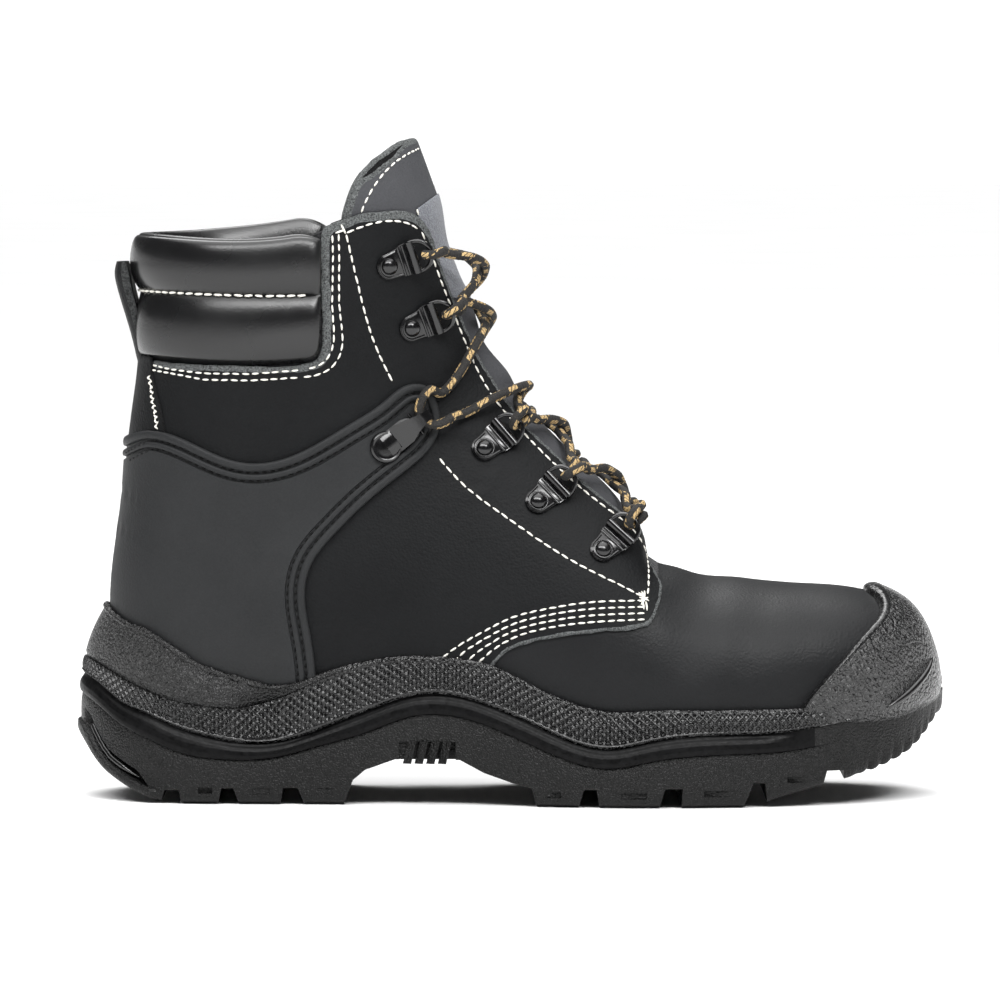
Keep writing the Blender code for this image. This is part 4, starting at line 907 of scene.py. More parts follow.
def leather_material(name, dark, light, roughness, grain, gloss):
    """Dyed leather: cloudy colour, fine pores and a soft sheen."""
    made, tree, shader = new_material(name, roughness, Specular_IOR_Level=gloss)
    coords = place(tree)
    cloud = noise(tree, coords, 28.0, 4.0, 0.6)
    fine = noise(tree, coords, 1500.0, 3.0, 0.6)
    clouds = ramp(tree, cloud, 0.3, 0.72, dark, light)
    specks = ramp(tree, fine, 0.3, 0.7, dark, light)
    pores = bump(tree, cells(tree, coords, 1150.0), 0.35 * grain, 0.0005)
    nap = bump(tree, fine, 0.4 * grain, 0.0004, pores)
    wire(tree, shader, Base_Color=blend(tree, clouds, specks, 0.45),
         Roughness=spread(tree, cloud, 0.3, 0.7, roughness - 0.06, roughness + 0.07),
         Normal=bump(tree, noise(tree, coords, 180.0, 3.0), 0.12 * grain, 0.0012, nap))
    return made


def suede_material(name, dark, light):
    """Cut edge of leather: fibrous and dull."""
    made, tree, shader = new_material(name, 0.95, Specular_IOR_Level=0.15)
    fibre = noise(tree, place(tree), 1700.0, 4.0, 0.7)
    wire(tree, shader, Base_Color=ramp(tree, fibre, 0.36, 0.68, dark, light),
         Normal=bump(tree, fibre, 0.9, 0.0008))
    return made


def rubber_material(name, dark, light, roughness, grain, pitch, gloss=0.5, glint_grey=0.0):
    """Moulded rubber with a sparkling grain of small uneven domes, some with pale tops that are painted glints.
    """
    made, tree, shader = new_material(name, roughness, Specular_IOR_Level=gloss)
    coords = place(tree)
    cloud = noise(tree, coords, 40.0, 3.0)
    speck = noise(tree, coords, pitch, 2.0, 0.6)
    grains = cells(tree, coords, pitch)
    # Painted highlight: a pale grey on the tops of some domes stands for glints of light.
    wear_and_glints = ramp(tree, grains, 0.12, 0.42, (glint_grey, glint_grey, glint_grey), dark)
    some = spread(tree, noise(tree, coords, 0.55 * pitch, 1.0), 0.38, 0.6, 0.0, 1.0)
    domes = bump(tree, spread(tree, grains, 0.0, 1.0, 1.0, 0.0), grain, 0.0011)
    wire(tree, shader, Base_Color=blend(tree, ramp(tree, cloud, 0.3, 0.7, dark, light), wear_and_glints, some),
         Roughness=spread(tree, speck, 0.4, 0.6, roughness - 0.05, roughness + 0.08),
         Normal=bump(tree, speck, grain, 0.0008, domes))
    return made


def thread_material(name, dark, light):
    """Twisted thread."""
    made, tree, shader = new_material(name, 0.75, Specular_IOR_Level=0.25)
    twist = noise(tree, place(tree), 2600.0, 2.0)
    wire(tree, shader, Base_Color=ramp(tree, twist, 0.3, 0.7, dark, light),
         Normal=bump(tree, twist, 0.5, 0.0003))
    return made


def metal_material(name, colour, roughness):
    """Black lacquered metal, a little paler where it shows wear."""
    made, tree, shader = new_material(name, roughness, Specular_IOR_Level=0.45, Coat_Weight=0.2,
                                      Coat_Roughness=0.08)
    wear_and_glints = noise(tree, place(tree), 350.0, 3.0)
    paler = tuple(2.2 * c for c in colour)
    wire(tree, shader, Base_Color=ramp(tree, wear_and_glints, 0.42, 0.8, colour, paler),
         Roughness=spread(tree, wear_and_glints, 0.3, 0.7, roughness - 0.06, roughness + 0.1))
    return made


def cloth_material(name, dark, light, pitch):
    """Woven cloth."""
    made, tree, shader = new_material(name, 0.92, Specular_IOR_Level=0.2, Sheen_Weight=0.2)
    weave = cells(tree, place(tree), pitch, "F1")
    wire(tree, shader, Base_Color=ramp(tree, weave, 0.1, 0.6, light, dark),
         Normal=bump(tree, weave, 0.6, 0.0008))
    return made


def lace_material():
    """Round black lace with a gold fleck that winds around it; its UV is (length, turn)."""
    made, tree, shader = new_material("lace_weave", 0.8, Specular_IOR_Level=0.3)
    uv = tree.nodes.new("ShaderNodeUVMap")
    split = tree.nodes.new("ShaderNodeSeparateXYZ")
    tree.links.new(uv.outputs["UV"], split.inputs["Vector"])

    def math_node(operation, first, second):
        node = tree.nodes.new("ShaderNodeMath")
        node.operation = operation
        for socket, value in zip(node.inputs, (first, second)):
            if isinstance(value, float):
                socket.default_value = value
            else:
                tree.links.new(value, socket)
        return node.outputs[0]

    length, turn = split.outputs["X"], split.outputs["Y"]

    def winding(turns):
        """Distance, in shares of its pitch, from a yarn that winds round the lace."""
        along = math_node("MULTIPLY", length, 1.0 / LACE_WINDING)
        wound = math_node("ADD", along, math_node("MULTIPLY", turn, turns))
        return math_node("ABSOLUTE", math_node("SUBTRACT", math_node("FRACT", wound, 0.0), 0.5), 0.0)

    crossed = math_node("ADD", winding(2.0), math_node("MULTIPLY", winding(-2.0), 0.9))
    patch = math_node("LESS_THAN", crossed, 0.32)
    twill = math_node("ADD", math_node("MULTIPLY", length, 0.55), math_node("MULTIPLY", turn, 6.0))
    pick = math_node("LESS_THAN", math_node("FRACT", twill, 0.0), 0.78)
    dash = math_node("LESS_THAN", math_node("FRACT", math_node("MULTIPLY", length, 0.7), 0.0), 0.55)
    trace = math_node("MULTIPLY", math_node("LESS_THAN", winding(1.0), 0.025), dash)
    gold = math_node("MAXIMUM", math_node("MULTIPLY", patch, pick), trace)
    fibre = noise(tree, place(tree), 2200.0, 2.0)
    black = ramp(tree, fibre, 0.3, 0.7, (0.008, 0.008, 0.008), (0.030, 0.028, 0.026))
    yellow = ramp(tree, fibre, 0.3, 0.7, (0.24, 0.15, 0.06), (0.62, 0.45, 0.22))
    wire(tree, shader, Base_Color=blend(tree, black, yellow, gold), Normal=bump(tree, fibre, 0.6, 0.0005))
    return made


LEATHER = leather_material("upper_leather", (0.0042, 0.0045, 0.0049), (0.0088, 0.0092, 0.0099),
                           0.55, 0.8, 0.11)
VAMP_LEATHER = leather_material("vamp_leather", (0.0044, 0.0047, 0.0052), (0.0088, 0.0092, 0.0101),
                                0.50, 0.55, 0.2)
COUNTER_LEATHER = leather_material("counter_leather", (0.016, 0.0167, 0.0174), (0.026, 0.0268, 0.0278),
                                   0.52, 0.5, 0.13)
COLLAR_LEATHER = leather_material("collar_leather", (0.004, 0.004, 0.0043), (0.007, 0.0071, 0.0075),
                                  0.28, 0.15, 0.5)
TONGUE_LEATHER = leather_material("tongue_leather", (0.042, 0.043, 0.047), (0.066, 0.067, 0.072),
                                  0.64, 0.9, 0.15)
SUEDE = suede_material("suede_edge", (0.025, 0.0262, 0.0265), (0.19, 0.20, 0.20))
TAB_SUEDE = suede_material("tab_suede", (0.012, 0.0125, 0.0128), (0.075, 0.078, 0.078))
# Dark cut edges; on the tongue's core this dark suede is painted shade in the gap between the layers.
DARK_EDGE_AND_SHADE = suede_material("dark_edge_and_shade", (0.003, 0.003, 0.003), (0.014, 0.014, 0.0145))
# For the grain, cup, hatch and outsole rubbers the last number is the grey of the glints painted on the dome
# tops.
GRAIN_RUBBER = rubber_material("grain_rubber", (0.002, 0.002, 0.0022), (0.005, 0.005, 0.0053),
                               0.15, 1.0, 950.0, 0.7, 0.05)
CUP_RUBBER = rubber_material("cup_rubber", (0.003, 0.003, 0.0032), (0.007, 0.007, 0.0073),
                             0.26, 0.7, 1300.0, 0.42, 0.05)
HATCH_RUBBER = rubber_material("hatch_rubber", (0.003, 0.003, 0.0032), (0.007, 0.007, 0.0073),
                               0.24, 0.2, 900.0, 0.5, 0.03)
RIB_RUBBER = rubber_material("rib_rubber", (0.003, 0.003, 0.0032), (0.006, 0.006, 0.0063),
                             0.38, 0.05, 900.0, 0.1)
OUTSOLE_RUBBER = rubber_material("outsole_rubber", (0.002, 0.002, 0.002), (0.005, 0.005, 0.005),
                                 0.36, 0.45, 1600.0, 0.26, 0.012)
GLOSS_RUBBER = rubber_material("gloss_rubber", (0.004, 0.004, 0.004), (0.009, 0.009, 0.009),
                               0.14, 0.05, 900.0, 0.7)
WHITE_THREAD = thread_material("white_thread", (0.60, 0.58, 0.52), (0.95, 0.93, 0.86))
BLACK_THREAD = thread_material("black_thread", (0.002, 0.002, 0.002), (0.008, 0.008, 0.008))
METAL = metal_material("black_metal", (0.003, 0.003, 0.0033), 0.15)
LINING_CLOTH = cloth_material("lining_cloth", (0.010, 0.010, 0.011), (0.04, 0.04, 0.043), 900.0)
BED_CLOTH = cloth_material("footbed_cloth", (0.02, 0.02, 0.02), (0.09, 0.09, 0.09), 700.0)
PATCH_CLOTH = cloth_material("patch_cloth", (0.13, 0.137, 0.155), (0.21, 0.22, 0.24), 1600.0)
LACE_CORD = lace_material()


# Upper

def quarter_outline():
    """Edge of the quarters: front, facing, top, collar window, and round below the sole's lip."""
    line = curve(QUARTER_FRONT, 6) + curve(QUARTER_FRONT[-1:] + FACING, 5)[5:] + curve(COLLAR_WINDOW, 6)
    return line + [(-170.0, 30.0), (-100.0, 30.0), (-40.0, 40.0), (-12.0, 38.0)]


def lining_outline():
    """Edge of the lining: the board line below, the facing and the collar above."""
    line = [(172.0, 60.0), (172.0, 110.0), (62.0, 110.0), (52.0, 91.0)] + curve(FACING + COLLAR_TOP, 4)
    return line + [(-170.0, 44.0)] + [(x, z + LINING_RISE) for x, z in BOTTOM_EDGE[::-1]] + [(172.0, 36.0)]


def raw_width(points):
    """Width of the cut edge that shows on the quarters: broad round the collar, narrow at the front."""
    x, z = points[:, 0], points[:, 2]
    return 1.2 + 1.9 * smoothstep(146.0, 157.0, z) * smoothstep(-26.0, -36.0, x)


def make_upper():
    """Vamp, quarters, back strap and lining; returns the surfaces of quarters and strap for the seams."""
    vamp, _ = panel("vamp", lambda p: inside_distance(VAMP_EDGE, p), VAMP_IN, rounded(VAMP_OUT, 0.2),
                    (VAMP_LEATHER, SUEDE))
    settle(vamp, "leather")
    outline = quarter_outline()

    def cut_edge(p):
        """Distance from the edge of the quarters, in widths of their cut edge."""
        return (inside_distance(outline, p) + ragged(p)) / raw_width(p)

    quarters, tree = panel("quarters", cut_edge, QUARTER_IN, raw_edge(QUARTER_OUT, 0.75),
                           (LEATHER, SUEDE, LEATHER), RAW_RIM)
    settle(quarters, "leather", "upper")
    strap, strap_tree = panel("back_strap", lambda p: inside_distance(BACK_STRAP, p) + ragged(p),
                              QUARTER_OUT + LAYER_GAP, rounded(STRAP_OUT, 0.5), (LEATHER, DARK_EDGE_AND_SHADE), 0.5)
    settle(strap, "leather")
    inner = lining_outline()
    lining, _ = panel("lining", lambda p: inside_distance(inner, p) - LINING_INSET, LINING_IN,
                      rounded(LINING_OUT, 0.4), (LINING_CLOTH, DARK_EDGE_AND_SHADE, LINING_CLOTH))
    settle(lining, "leather")
    return tree, strap_tree


def make_counter():
    """Heel counter with two raised ridges and two stitched grooves along its edge."""
    outline = curve(COUNTER_EDGE, 6) + [(-172.0, 34.0)]

    def ridge(away, start, end, foot, rise):
        """Height of a round ridge between two distances from the edge."""
        across = 2.0 * (away - start) / (end - start) - 1.0
        return COUNTER_OUT - foot + rise * np.sqrt(np.maximum(1.0 - across ** 2, 0.0))

    def height(away):
        """Ridge, groove, ridge, groove and the plain field."""
        first = ridge(away, 0.0, RIDGE_END, RIDGE_FOOT, RIDGE_RISE)
        second = ridge(away, SECOND_FROM, SECOND_END, SECOND_FOOT, SECOND_RISE)
        out = np.where(away < RIDGE_END, first, COUNTER_OUT - GROOVE_DEPTH)
        out = np.where((away >= SECOND_FROM) & (away < SECOND_END), second, out)
        return np.where(away > BORDER_END, COUNTER_OUT, out)

    levels = [RIDGE_END * s for s in (0.0, 0.06, 0.22, 0.5, 0.78, 0.94, 1.0)]
    levels += [SECOND_FROM + (SECOND_END - SECOND_FROM) * s for s in (0.0, 0.08, 0.3, 0.7, 0.92, 1.0)]
    levels += [RIDGE_END + 0.12, SECOND_FROM - 0.12, SECOND_END + 0.12, BORDER_END - 0.05, BORDER_END + 0.2]
    counter, tree = panel("heel_counter", lambda p: inside_distance(outline, p), COUNTER_IN, (height, levels),
                          (COUNTER_LEATHER, COUNTER_LEATHER), sharp=50.0)
    settle(counter, "counter_leather", "heel_counter")
    edge = smooth_path(COUNTER_EDGE[1:], 6)
    grooves = ((RIDGE_END, SECOND_FROM), (SECOND_END, BORDER_END))
    return tree, [offset_line(edge, 0.5 * (low + high)) for low, high in grooves]


def make_tongue():
    """Tongue: outer leather and lining with a dark core between them, whose dark face is painted shade in the
    gap where the layers part, and a plain patch on its front.
    """
    outline = curve(TONGUE_EDGE, 5) + [(80.0, 70.0), (80.0, 235.6)]

    def edge(inset, gape, width):
        """Field of a layer inset from the tongue's edge, more where the layers gape, in cut edge widths."""
        def field(p):
            x, z = p[:, 0], p[:, 2]
            parted = smoothstep(-55.0, -50.0, x) * smoothstep(-37.0, -43.0, x) * smoothstep(216.0, 222.0, z)
            return (inside_distance(outline, p) - inset - gape * parted + ragged(p)) / width
        return field

    leather, tree = panel("tongue", edge(0.5, 2.1, 2.0), TONGUE_OUT - 1.5, raw_edge(TONGUE_OUT, 0.9),
                          (TONGUE_LEATHER, SUEDE, SUEDE), RAW_RIM, puckers)
    settle(leather, "tongue_leather", "tongue")
    # The core's dark colour shows in the gap where the layers part, standing for the shade in that gap.
    core, _ = panel("tongue_shade_core", edge(1.5, -0.4, 1.0), TONGUE_IN + 1.4, rounded(TONGUE_OUT - 1.52, 0.3),
                    (DARK_EDGE_AND_SHADE, DARK_EDGE_AND_SHADE), 0.0, puckers)
    settle(core, "tongue_leather")
    back, _ = panel("tongue_lining", edge(0.0, 0.0, 1.2), TONGUE_IN, raw_edge(TONGUE_IN + 3.2, 1.6),
                    (DARK_EDGE_AND_SHADE, SUEDE, LINING_CLOTH), RAW_RIM, puckers)
    settle(back, "tongue_leather")
    patch, patch_tree = panel("tongue_patch", lambda p: inside_distance(PATCH_EDGE, p),
                              TONGUE_OUT + LAYER_GAP, rounded(PATCH_OUT, 0.3),
                              (PATCH_CLOTH, DARK_EDGE_AND_SHADE), 0.0, puckers)
    settle(patch, "tongue_leather")
    return tree, patch_tree


def make_footbed():
    """Footbed: the floor inside the boot, turned up at its edge."""
    line = [(x, z + BED_RISE) for x, z in ((172.0, 36.0),) + BOTTOM_EDGE + ((-165.0, 42.0),)]
    outline = line + [(-165.0, 5.0), (172.0, 5.0)]
    bed, _ = panel("footbed", lambda p: inside_distance(outline, p), BED_IN, rounded(BED_OUT, 0.5),
                   (DARK_EDGE_AND_SHADE, DARK_EDGE_AND_SHADE, BED_CLOTH), 0.0, lambda p: np.zeros(len(p)))
    settle(bed, "insole_board", "insole")


# Collar and pull tab

def last_tree():
    """The last's surface for rays, in millimetres."""
    rows, triangles = skin(1.0)
    return BVHTree.FromPolygons(rows[:, :3].tolist(), triangles.tolist())


def radial_hit(tree, turn, z):
    """Where a ray from the shaft's axis meets the surface, and the ray's direction."""
    way = Vector((math.cos(turn), math.sin(turn), 0.0))
    hit = tree.ray_cast(Vector((PAD_AXIS_X, 0.0, z)), way)[0]
    return np.array(hit), np.array(way)


def pad_section(bottom, seam, top, reach, back):
    """Cross-section of the collar pad as (offset, z): two rolls with a seam, over the top and down inside."""
    section = []
    rolls = ((bottom, seam, PAD_BULGE * (1.0 - 0.55 * back), 1.0), (seam, top, PAD_BULGE, -1.0))
    for low, high, bulge, seam_side in rolls:
        for t in 0.5 * (1.0 - np.cos(np.linspace(0.0, math.pi, PAD_ROLL_ROWS))):
            near_seam = 0.5 + seam_side * (t - 0.5)
            belly = max(0.0, 1.0 - (2.0 * t - 1.0) ** 2) ** (0.46 + 0.34 * near_seam)
            section.append((PAD_SEAM_DIP + (bulge - PAD_SEAM_DIP) * belly * reach, low + (high - low) * t))
    del section[PAD_ROLL_ROWS]
    start = section[-1]
    for turn in np.linspace(0.0, math.pi, 9)[1:]:
        inward = PAD_TURN_RADIUS * (1.0 - math.cos(turn))
        section.append((start[0] - inward, start[1] + PAD_TURN_RISE * math.sin(turn)))
    for drop, offset in PAD_INSIDE:
        section.append((offset * (0.5 + 0.5 * reach) - 1.2 * (1.0 - reach), top - drop))
    return section


def make_collar(tree):
    """Collar pad: two stuffed rolls round the back of the shaft, turned over the top."""
    turns = np.radians(np.linspace(PAD_FRONT_ANGLE, 360.0 - PAD_FRONT_ANGLE, PAD_COLUMNS + 1))
    knots = [row.x for row in PAD_LINES]
    seam_hits = [radial_hit(tree, turn, PAD_LINES[2].seam)[0] for turn in turns]
    run = chord(seam_hits)
    grid = []
    for turn, hit, end in zip(turns, seam_hits, np.minimum(run, run[-1] - run)):
        x, y = hit[0], hit[1]
        bottom, seam, lateral_top, medial_top = spline(knots, [row[1:] for row in PAD_LINES], [x])[0]
        medial = float(smoothstep(-22.0, 22.0, y))
        top = lateral_top + (medial_top - lateral_top) * medial
        back = math.exp(-(y / 10.0) ** 2)
        share = 1.0 - min(end / PAD_END, 1.0)
        top -= 4.0 * (1.0 - min(end / (2.2 * PAD_END), 1.0)) ** 2
        bottom += 2.2 * share ** 3
        reach = 0.1 + 0.9 * math.sqrt(1.0 - share * share)
        column = []
        for offset, z in pad_section(bottom, seam, top, reach, back):
            place_hit, way = radial_hit(tree, turn, z)
            column.append(place_hit + way * offset)
        grid.append(column)
    grid = np.array(grid)
    columns, rows = grid.shape[:2]
    faces = capped_faces(columns, rows)
    made = build_mesh("collar_pad", grid.reshape(-1, 3), faces, (COLLAR_LEATHER,), None, 70.0)
    flip_if_inward(made)
    settle(made, "collar_leather", "collar_pad")
    shown = 2 * PAD_ROLL_ROWS - 1
    return BVHTree.FromPolygons(grid[:, :shown].reshape(-1, 3).tolist(), grid_faces(columns, shown).tolist())


def make_pull_tab(tree):
    """Pull tab: a doubled strip up the back seam that stands behind the collar."""
    knots = [row.z for row in TAB_ROWS]
    heights = np.linspace(knots[0], knots[-1], 46)
    table = spline(knots, [(row.stand_off, row.thick) for row in TAB_ROWS], heights)
    across = np.linspace(-0.5, 0.5, 15)
    layers = []
    for layer in (0, 1):
        grid = np.zeros((len(heights), len(across), 3))
        for r, (z, (stand_off, thick)) in enumerate(zip(heights, table)):
            for c, share in enumerate(across):
                y = share * TAB_WIDTH
                hit = tree.ray_cast(Vector((-200.0, y, z)), Vector((1.0, 0.0, 0.0)))[0]
                edge = 1.0 - (2.0 * abs(share)) ** 12
                depth = stand_off + QUARTER_OUT + thick * (0.5 + (layer - 0.5) * (0.55 + 0.45 * edge))
                grid[r, c] = (hit.x - depth, y, z)
        layers.append(grid)
    rows, columns = layers[0].shape[:2]
    size = rows * columns
    skin_faces = grid_faces(rows, columns)
    rim = list(range(columns)) + [r * columns + columns - 1 for r in range(1, rows)]
    rim += [(rows - 1) * columns + c for c in range(columns - 2, -1, -1)]
    rim += [r * columns for r in range(rows - 2, 0, -1)]
    walls = [(a, b, size + b, size + a) for a, b in zip(rim, rim[1:] + rim[:1])]
    faces = [tuple(f) for f in skin_faces] + [tuple(f + size) for f in skin_faces[:, ::-1]] + walls
    kinds = [0] * (2 * len(skin_faces)) + [1] * len(walls)
    points = np.concatenate([layers[0].reshape(-1, 3), layers[1].reshape(-1, 3)])
    made = build_mesh("pull_tab", points, faces, (LEATHER, TAB_SUEDE), kinds, 50.0)
    settle(flip_if_inward(made), "leather", "pull_tab")


# Sole

def sole_outline(stations):
    """Points and outward directions around the sole: toe, lateral side, heel, medial side."""
    lateral = [(row.x, -row.lateral) for row in SOLE_PLAN]
    medial = [(row.x, row.medial) for row in reversed(SOLE_PLAN)]
    loop = [TOE_POINT] + lateral + [HEEL_POINT] + medial
    wrap = 4
    closed = np.array(loop[-wrap:] + loop + loop[:wrap + 1], float)
    knots = chord(closed)
    toe, heel, end = knots[wrap], knots[wrap + len(lateral) + 1], knots[wrap + len(loop)]
    down = np.linspace(toe, heel, stations + 1)
    back = np.linspace(heel, end, stations + 1)
    at = np.concatenate([down[:-1], back[:-1]])
    points = spline(knots, closed, at)
    ahead = spline(knots, closed, at + 0.5) - spline(knots, closed, at - 0.5)
    out = np.stack([-ahead[:, 1], ahead[:, 0]], axis=1)
    if np.sum(out * points) < 0.0:
        out = -out
    return points, unit(out), at


def sole_ring(outline, inset, height):
    """One ring around the sole: its outline moved in by inset, at the given heights."""
    points, out = outline[:2]
    inner = points - out * np.broadcast_to(inset, len(points))[:, None]
    return np.column_stack([inner, np.broadcast_to(height, len(points))])


def sole_lines(outline, tree):
    """Insets and heights of the midsole's lines where each ring ends up beside the last."""
    points, out = outline[:2]
    x = points[:, 0]

    def hug(height, stand_off):
        """Inset that leaves the ring stand_off outside the last at the given heights."""
        inset = []
        for p, n, z, d in zip(points, out, height, stand_off):
            start = Vector((p[0] + 40.0 * n[0], p[1] + 40.0 * n[1], z))
            hit = tree.ray_cast(start, Vector((-n[0], -n[1], 0.0)))[0]
            inset.append((p[0] - hit.x) * n[0] + (p[1] - hit.y) * n[1] - d)
        return np.array(inset)

    def follow(name, stand_off):
        """Heights of a line of the sole and its inset, both where the ring ends up."""
        inset = np.full(len(x), 4.0)
        for _ in range(5):
            height = level(name, x - out[:, 0] * inset)
            inset = hug(height, stand_off)
        return height, inset

    plain = smoothstep(PLAIN_FROM, PLAIN_FULL, x)
    heel = smoothstep(CUP_FROM, CUP_FULL, x)
    rim = RIM_WIDTH + CUP_RIM * smoothstep(CUP_RIM_FROM, CUP_RIM_FULL, x) + PLAIN_RIM * plain
    lip, lip_inset = follow("lip", rim)
    band, band_inset = follow("band_top", rim + 0.8 * (1.0 - plain))
    band_inset = (1.0 - heel) * band_inset + heel * 1.8
    band = (1.0 - heel) * band + heel * level("band_top", x - out[:, 0] * band_inset)
    low = level("rib_low", x) + 0.5 * GAP * (1.0 - plain)
    high = level("rib_high", x)
    return {"plain": plain, "heel": heel, "rim": rim, "lip": lip, "lip_inset": lip_inset, "band": band,
            "band_inset": band_inset, "low": low, "high": high}


def ring_solid(name, rings, materials, kinds, sharp):
    """A closed ring-shaped solid from rings of points, the last joined back to the first."""
    count = len(rings[0])
    faces = looped_faces(len(rings), count)
    face_kinds = [kinds[f[0] // count] for f in faces]
    return flip_if_inward(build_mesh(name, np.concatenate(rings), faces, materials, face_kinds, sharp))


def make_midsole(tree):
    """Midsole: smooth rib, groove, heel cup and lip; returns its surface for the toe's slash."""
    outline = sole_outline(SOLE_STATIONS)
    line = sole_lines(outline, tree)
    plain, low, high = line["plain"], line["low"], line["high"]
    ribbed = 1.0 - plain
    crested = smoothstep(TOE_GRAIN_FROM, RIB_FADE_FROM, outline[0][:, 0])
    toe = smoothstep(RIPPLE_FROM, RIPPLE_FULL, outline[0][:, 0])
    rings, kinds = [sole_ring(outline, 9.0, low + 0.4), sole_ring(outline, 2.0, low)], [0, 0]
    shares, insets = zip(*RIB_PROFILE)
    for t in np.linspace(0.0, 1.0, 21):
        ridge = float(np.interp(t, shares, insets))
        inset = ridge * crested + (TOE_FOOT_INSET + TOE_LEAN * t) * (1.0 - crested)
        height = low + (high - low) * t
        ripple = RIPPLE_DEPTH * toe * np.abs(np.sin(math.pi * height / RIPPLE_PITCH))
        rings.append(sole_ring(outline, inset + ripple, height))
        kinds.append(0)
    start = 0.5 * line["band_inset"] + 0.3 * ribbed
    for rise, inset in GROOVE_STEPS:
        rings.append(sole_ring(outline, start + inset * ribbed, high + rise))
        kinds.append(1)
    for t in (0.33, 0.66, 1.0):
        inset = start + (line["band_inset"] - start) * t + BACKING_INSET * ribbed
        height = high + GROOVE_RISE + (line["band"] - high - GROOVE_RISE) * t
        rings.append(sole_ring(outline, inset, height))
        kinds.append(1)
    cup = line["lip"] - line["band"]
    for t in np.linspace(0.1, 1.0, 10):
        inset = line["band_inset"] + (line["lip_inset"] - line["band_inset"]) * t
        swell = -CUP_SWELL * math.sin(math.pi * t) * smoothstep(SWELL_FROM, SWELL_FULL, cup)
        rings.append(sole_ring(outline, inset + swell, line["band"] + cup * t))
        kinds.append(1)
    for share, rise in LIP_ROUNDING:
        rings.append(sole_ring(outline, line["lip_inset"] + line["rim"] * share, line["lip"] + rise))
        kinds.append(1)
    rings.append(sole_ring(outline, line["lip_inset"] + line["rim"] + 1.0, line["lip"] - 4.0))
    rings.append(sole_ring(outline, 12.0, low + 3.0))
    rubbers = (RIB_RUBBER, GRAIN_RUBBER, CUP_RUBBER, OUTSOLE_RUBBER)
    made = ring_solid("midsole", rings, rubbers, kinds + [1, 1], 50.0)
    for polygon in made.data.polygons:
        at = polygon.center.x / MM
        if at > TOE_GRAIN_FROM and polygon.material_index == 0:
            polygon.material_index = 3
        elif at < CUP_GRAIN_TO and polygon.material_index == 1:
            polygon.material_index = 2
    settle(made, "midsole_foam", "midsole")
    x = outline[0][:, 0]
    edge = sole_ring(outline, line["lip_inset"] + 0.5, line["lip"] + 0.1)[x < -72.0]
    waver = 1.0 + 0.16 * np.sin(1.9 * edge[:, 1] + 0.8 * edge[:, 0]) + 0.12 * np.sin(3.7 * edge[:, 0])
    size = (0.2 + 0.95 * smoothstep(-72.0, -90.0, edge[:, 0])) * waver
    lip = build_mesh("heel_cup_lip", *tube(edge, size, 10), (CUP_RUBBER,), None, 60.0)
    settle(flip_if_inward(lip), "midsole_foam")
    points = [Vector(v.co) / MM for v in made.data.vertices]
    return BVHTree.FromPolygons(points, [tuple(p.vertices) for p in made.data.polygons])


def make_band(tree, side_name, side):
    """Cross-hatched band along one side of the midsole, with its ridges raised."""
    outline = sole_outline(BAND_STATIONS)
    half = slice(0, BAND_STATIONS + 1) if side < 0.0 else slice(BAND_STATIONS, 2 * BAND_STATIONS)
    outline = tuple(part[half] for part in outline)
    keep = outline[0][:, 0] < BAND_END
    outline = tuple(part[keep] for part in outline)
    line = sole_lines(outline, tree)
    start = 0.5 * line["band_inset"] + 0.3 * (1.0 - line["plain"])
    base = line["high"] + GROOVE_RISE
    run = outline[2]
    proud = BAND_PROUD * (1.0 - line["heel"])
    skirt = np.maximum(start - proud - 0.8, 0.3)
    rings = []
    for t in np.linspace(0.0, 1.0, BAND_ROWS):
        rise = (line["band"] - base) * t
        edge = min(1.0, max(t - 0.08, 0.0) / 0.05, (1.0 - t) / 0.06)
        ridge = np.zeros(len(run))
        for way in (1.0, -1.0):
            phase = (run + way * rise) / HATCH_PITCH
            off = np.abs(phase - np.round(phase))
            ridge = np.maximum(ridge, 1.0 - smoothstep(HATCH_CREST, HATCH_SLOPE, off))
        convex = (BAND_BULGE - (BAND_BULGE - CUP_BULGE) * line["heel"]) * math.sin(math.pi * t)
        crest = convex + proud + skirt * math.exp(-((t - SKIRT_AT) / SKIRT_HALF) ** 2)
        relief = (crest - HATCH_DEPTH * (1.0 - ridge) * edge) * (1.0 - line["plain"])
        relief = relief - PLAIN_SINK * line["plain"]
        inset = start + (line["band_inset"] - start) * t - relief
        rings.append(sole_ring(outline, inset, base + rise))
    rings.append(sole_ring(outline, line["band_inset"] + 1.6, line["band"] + 0.1))
    rings.append(sole_ring(outline, start + 2.6, base - 0.2))
    grid = np.stack(rings, axis=1)
    columns, rows = grid.shape[:2]
    faces = capped_faces(columns, rows)
    made = build_mesh(f"midsole_band_{side_name}", grid.reshape(-1, 3), faces, (HATCH_RUBBER,), None, 75.0)
    settle(flip_if_inward(made), "midsole_foam")


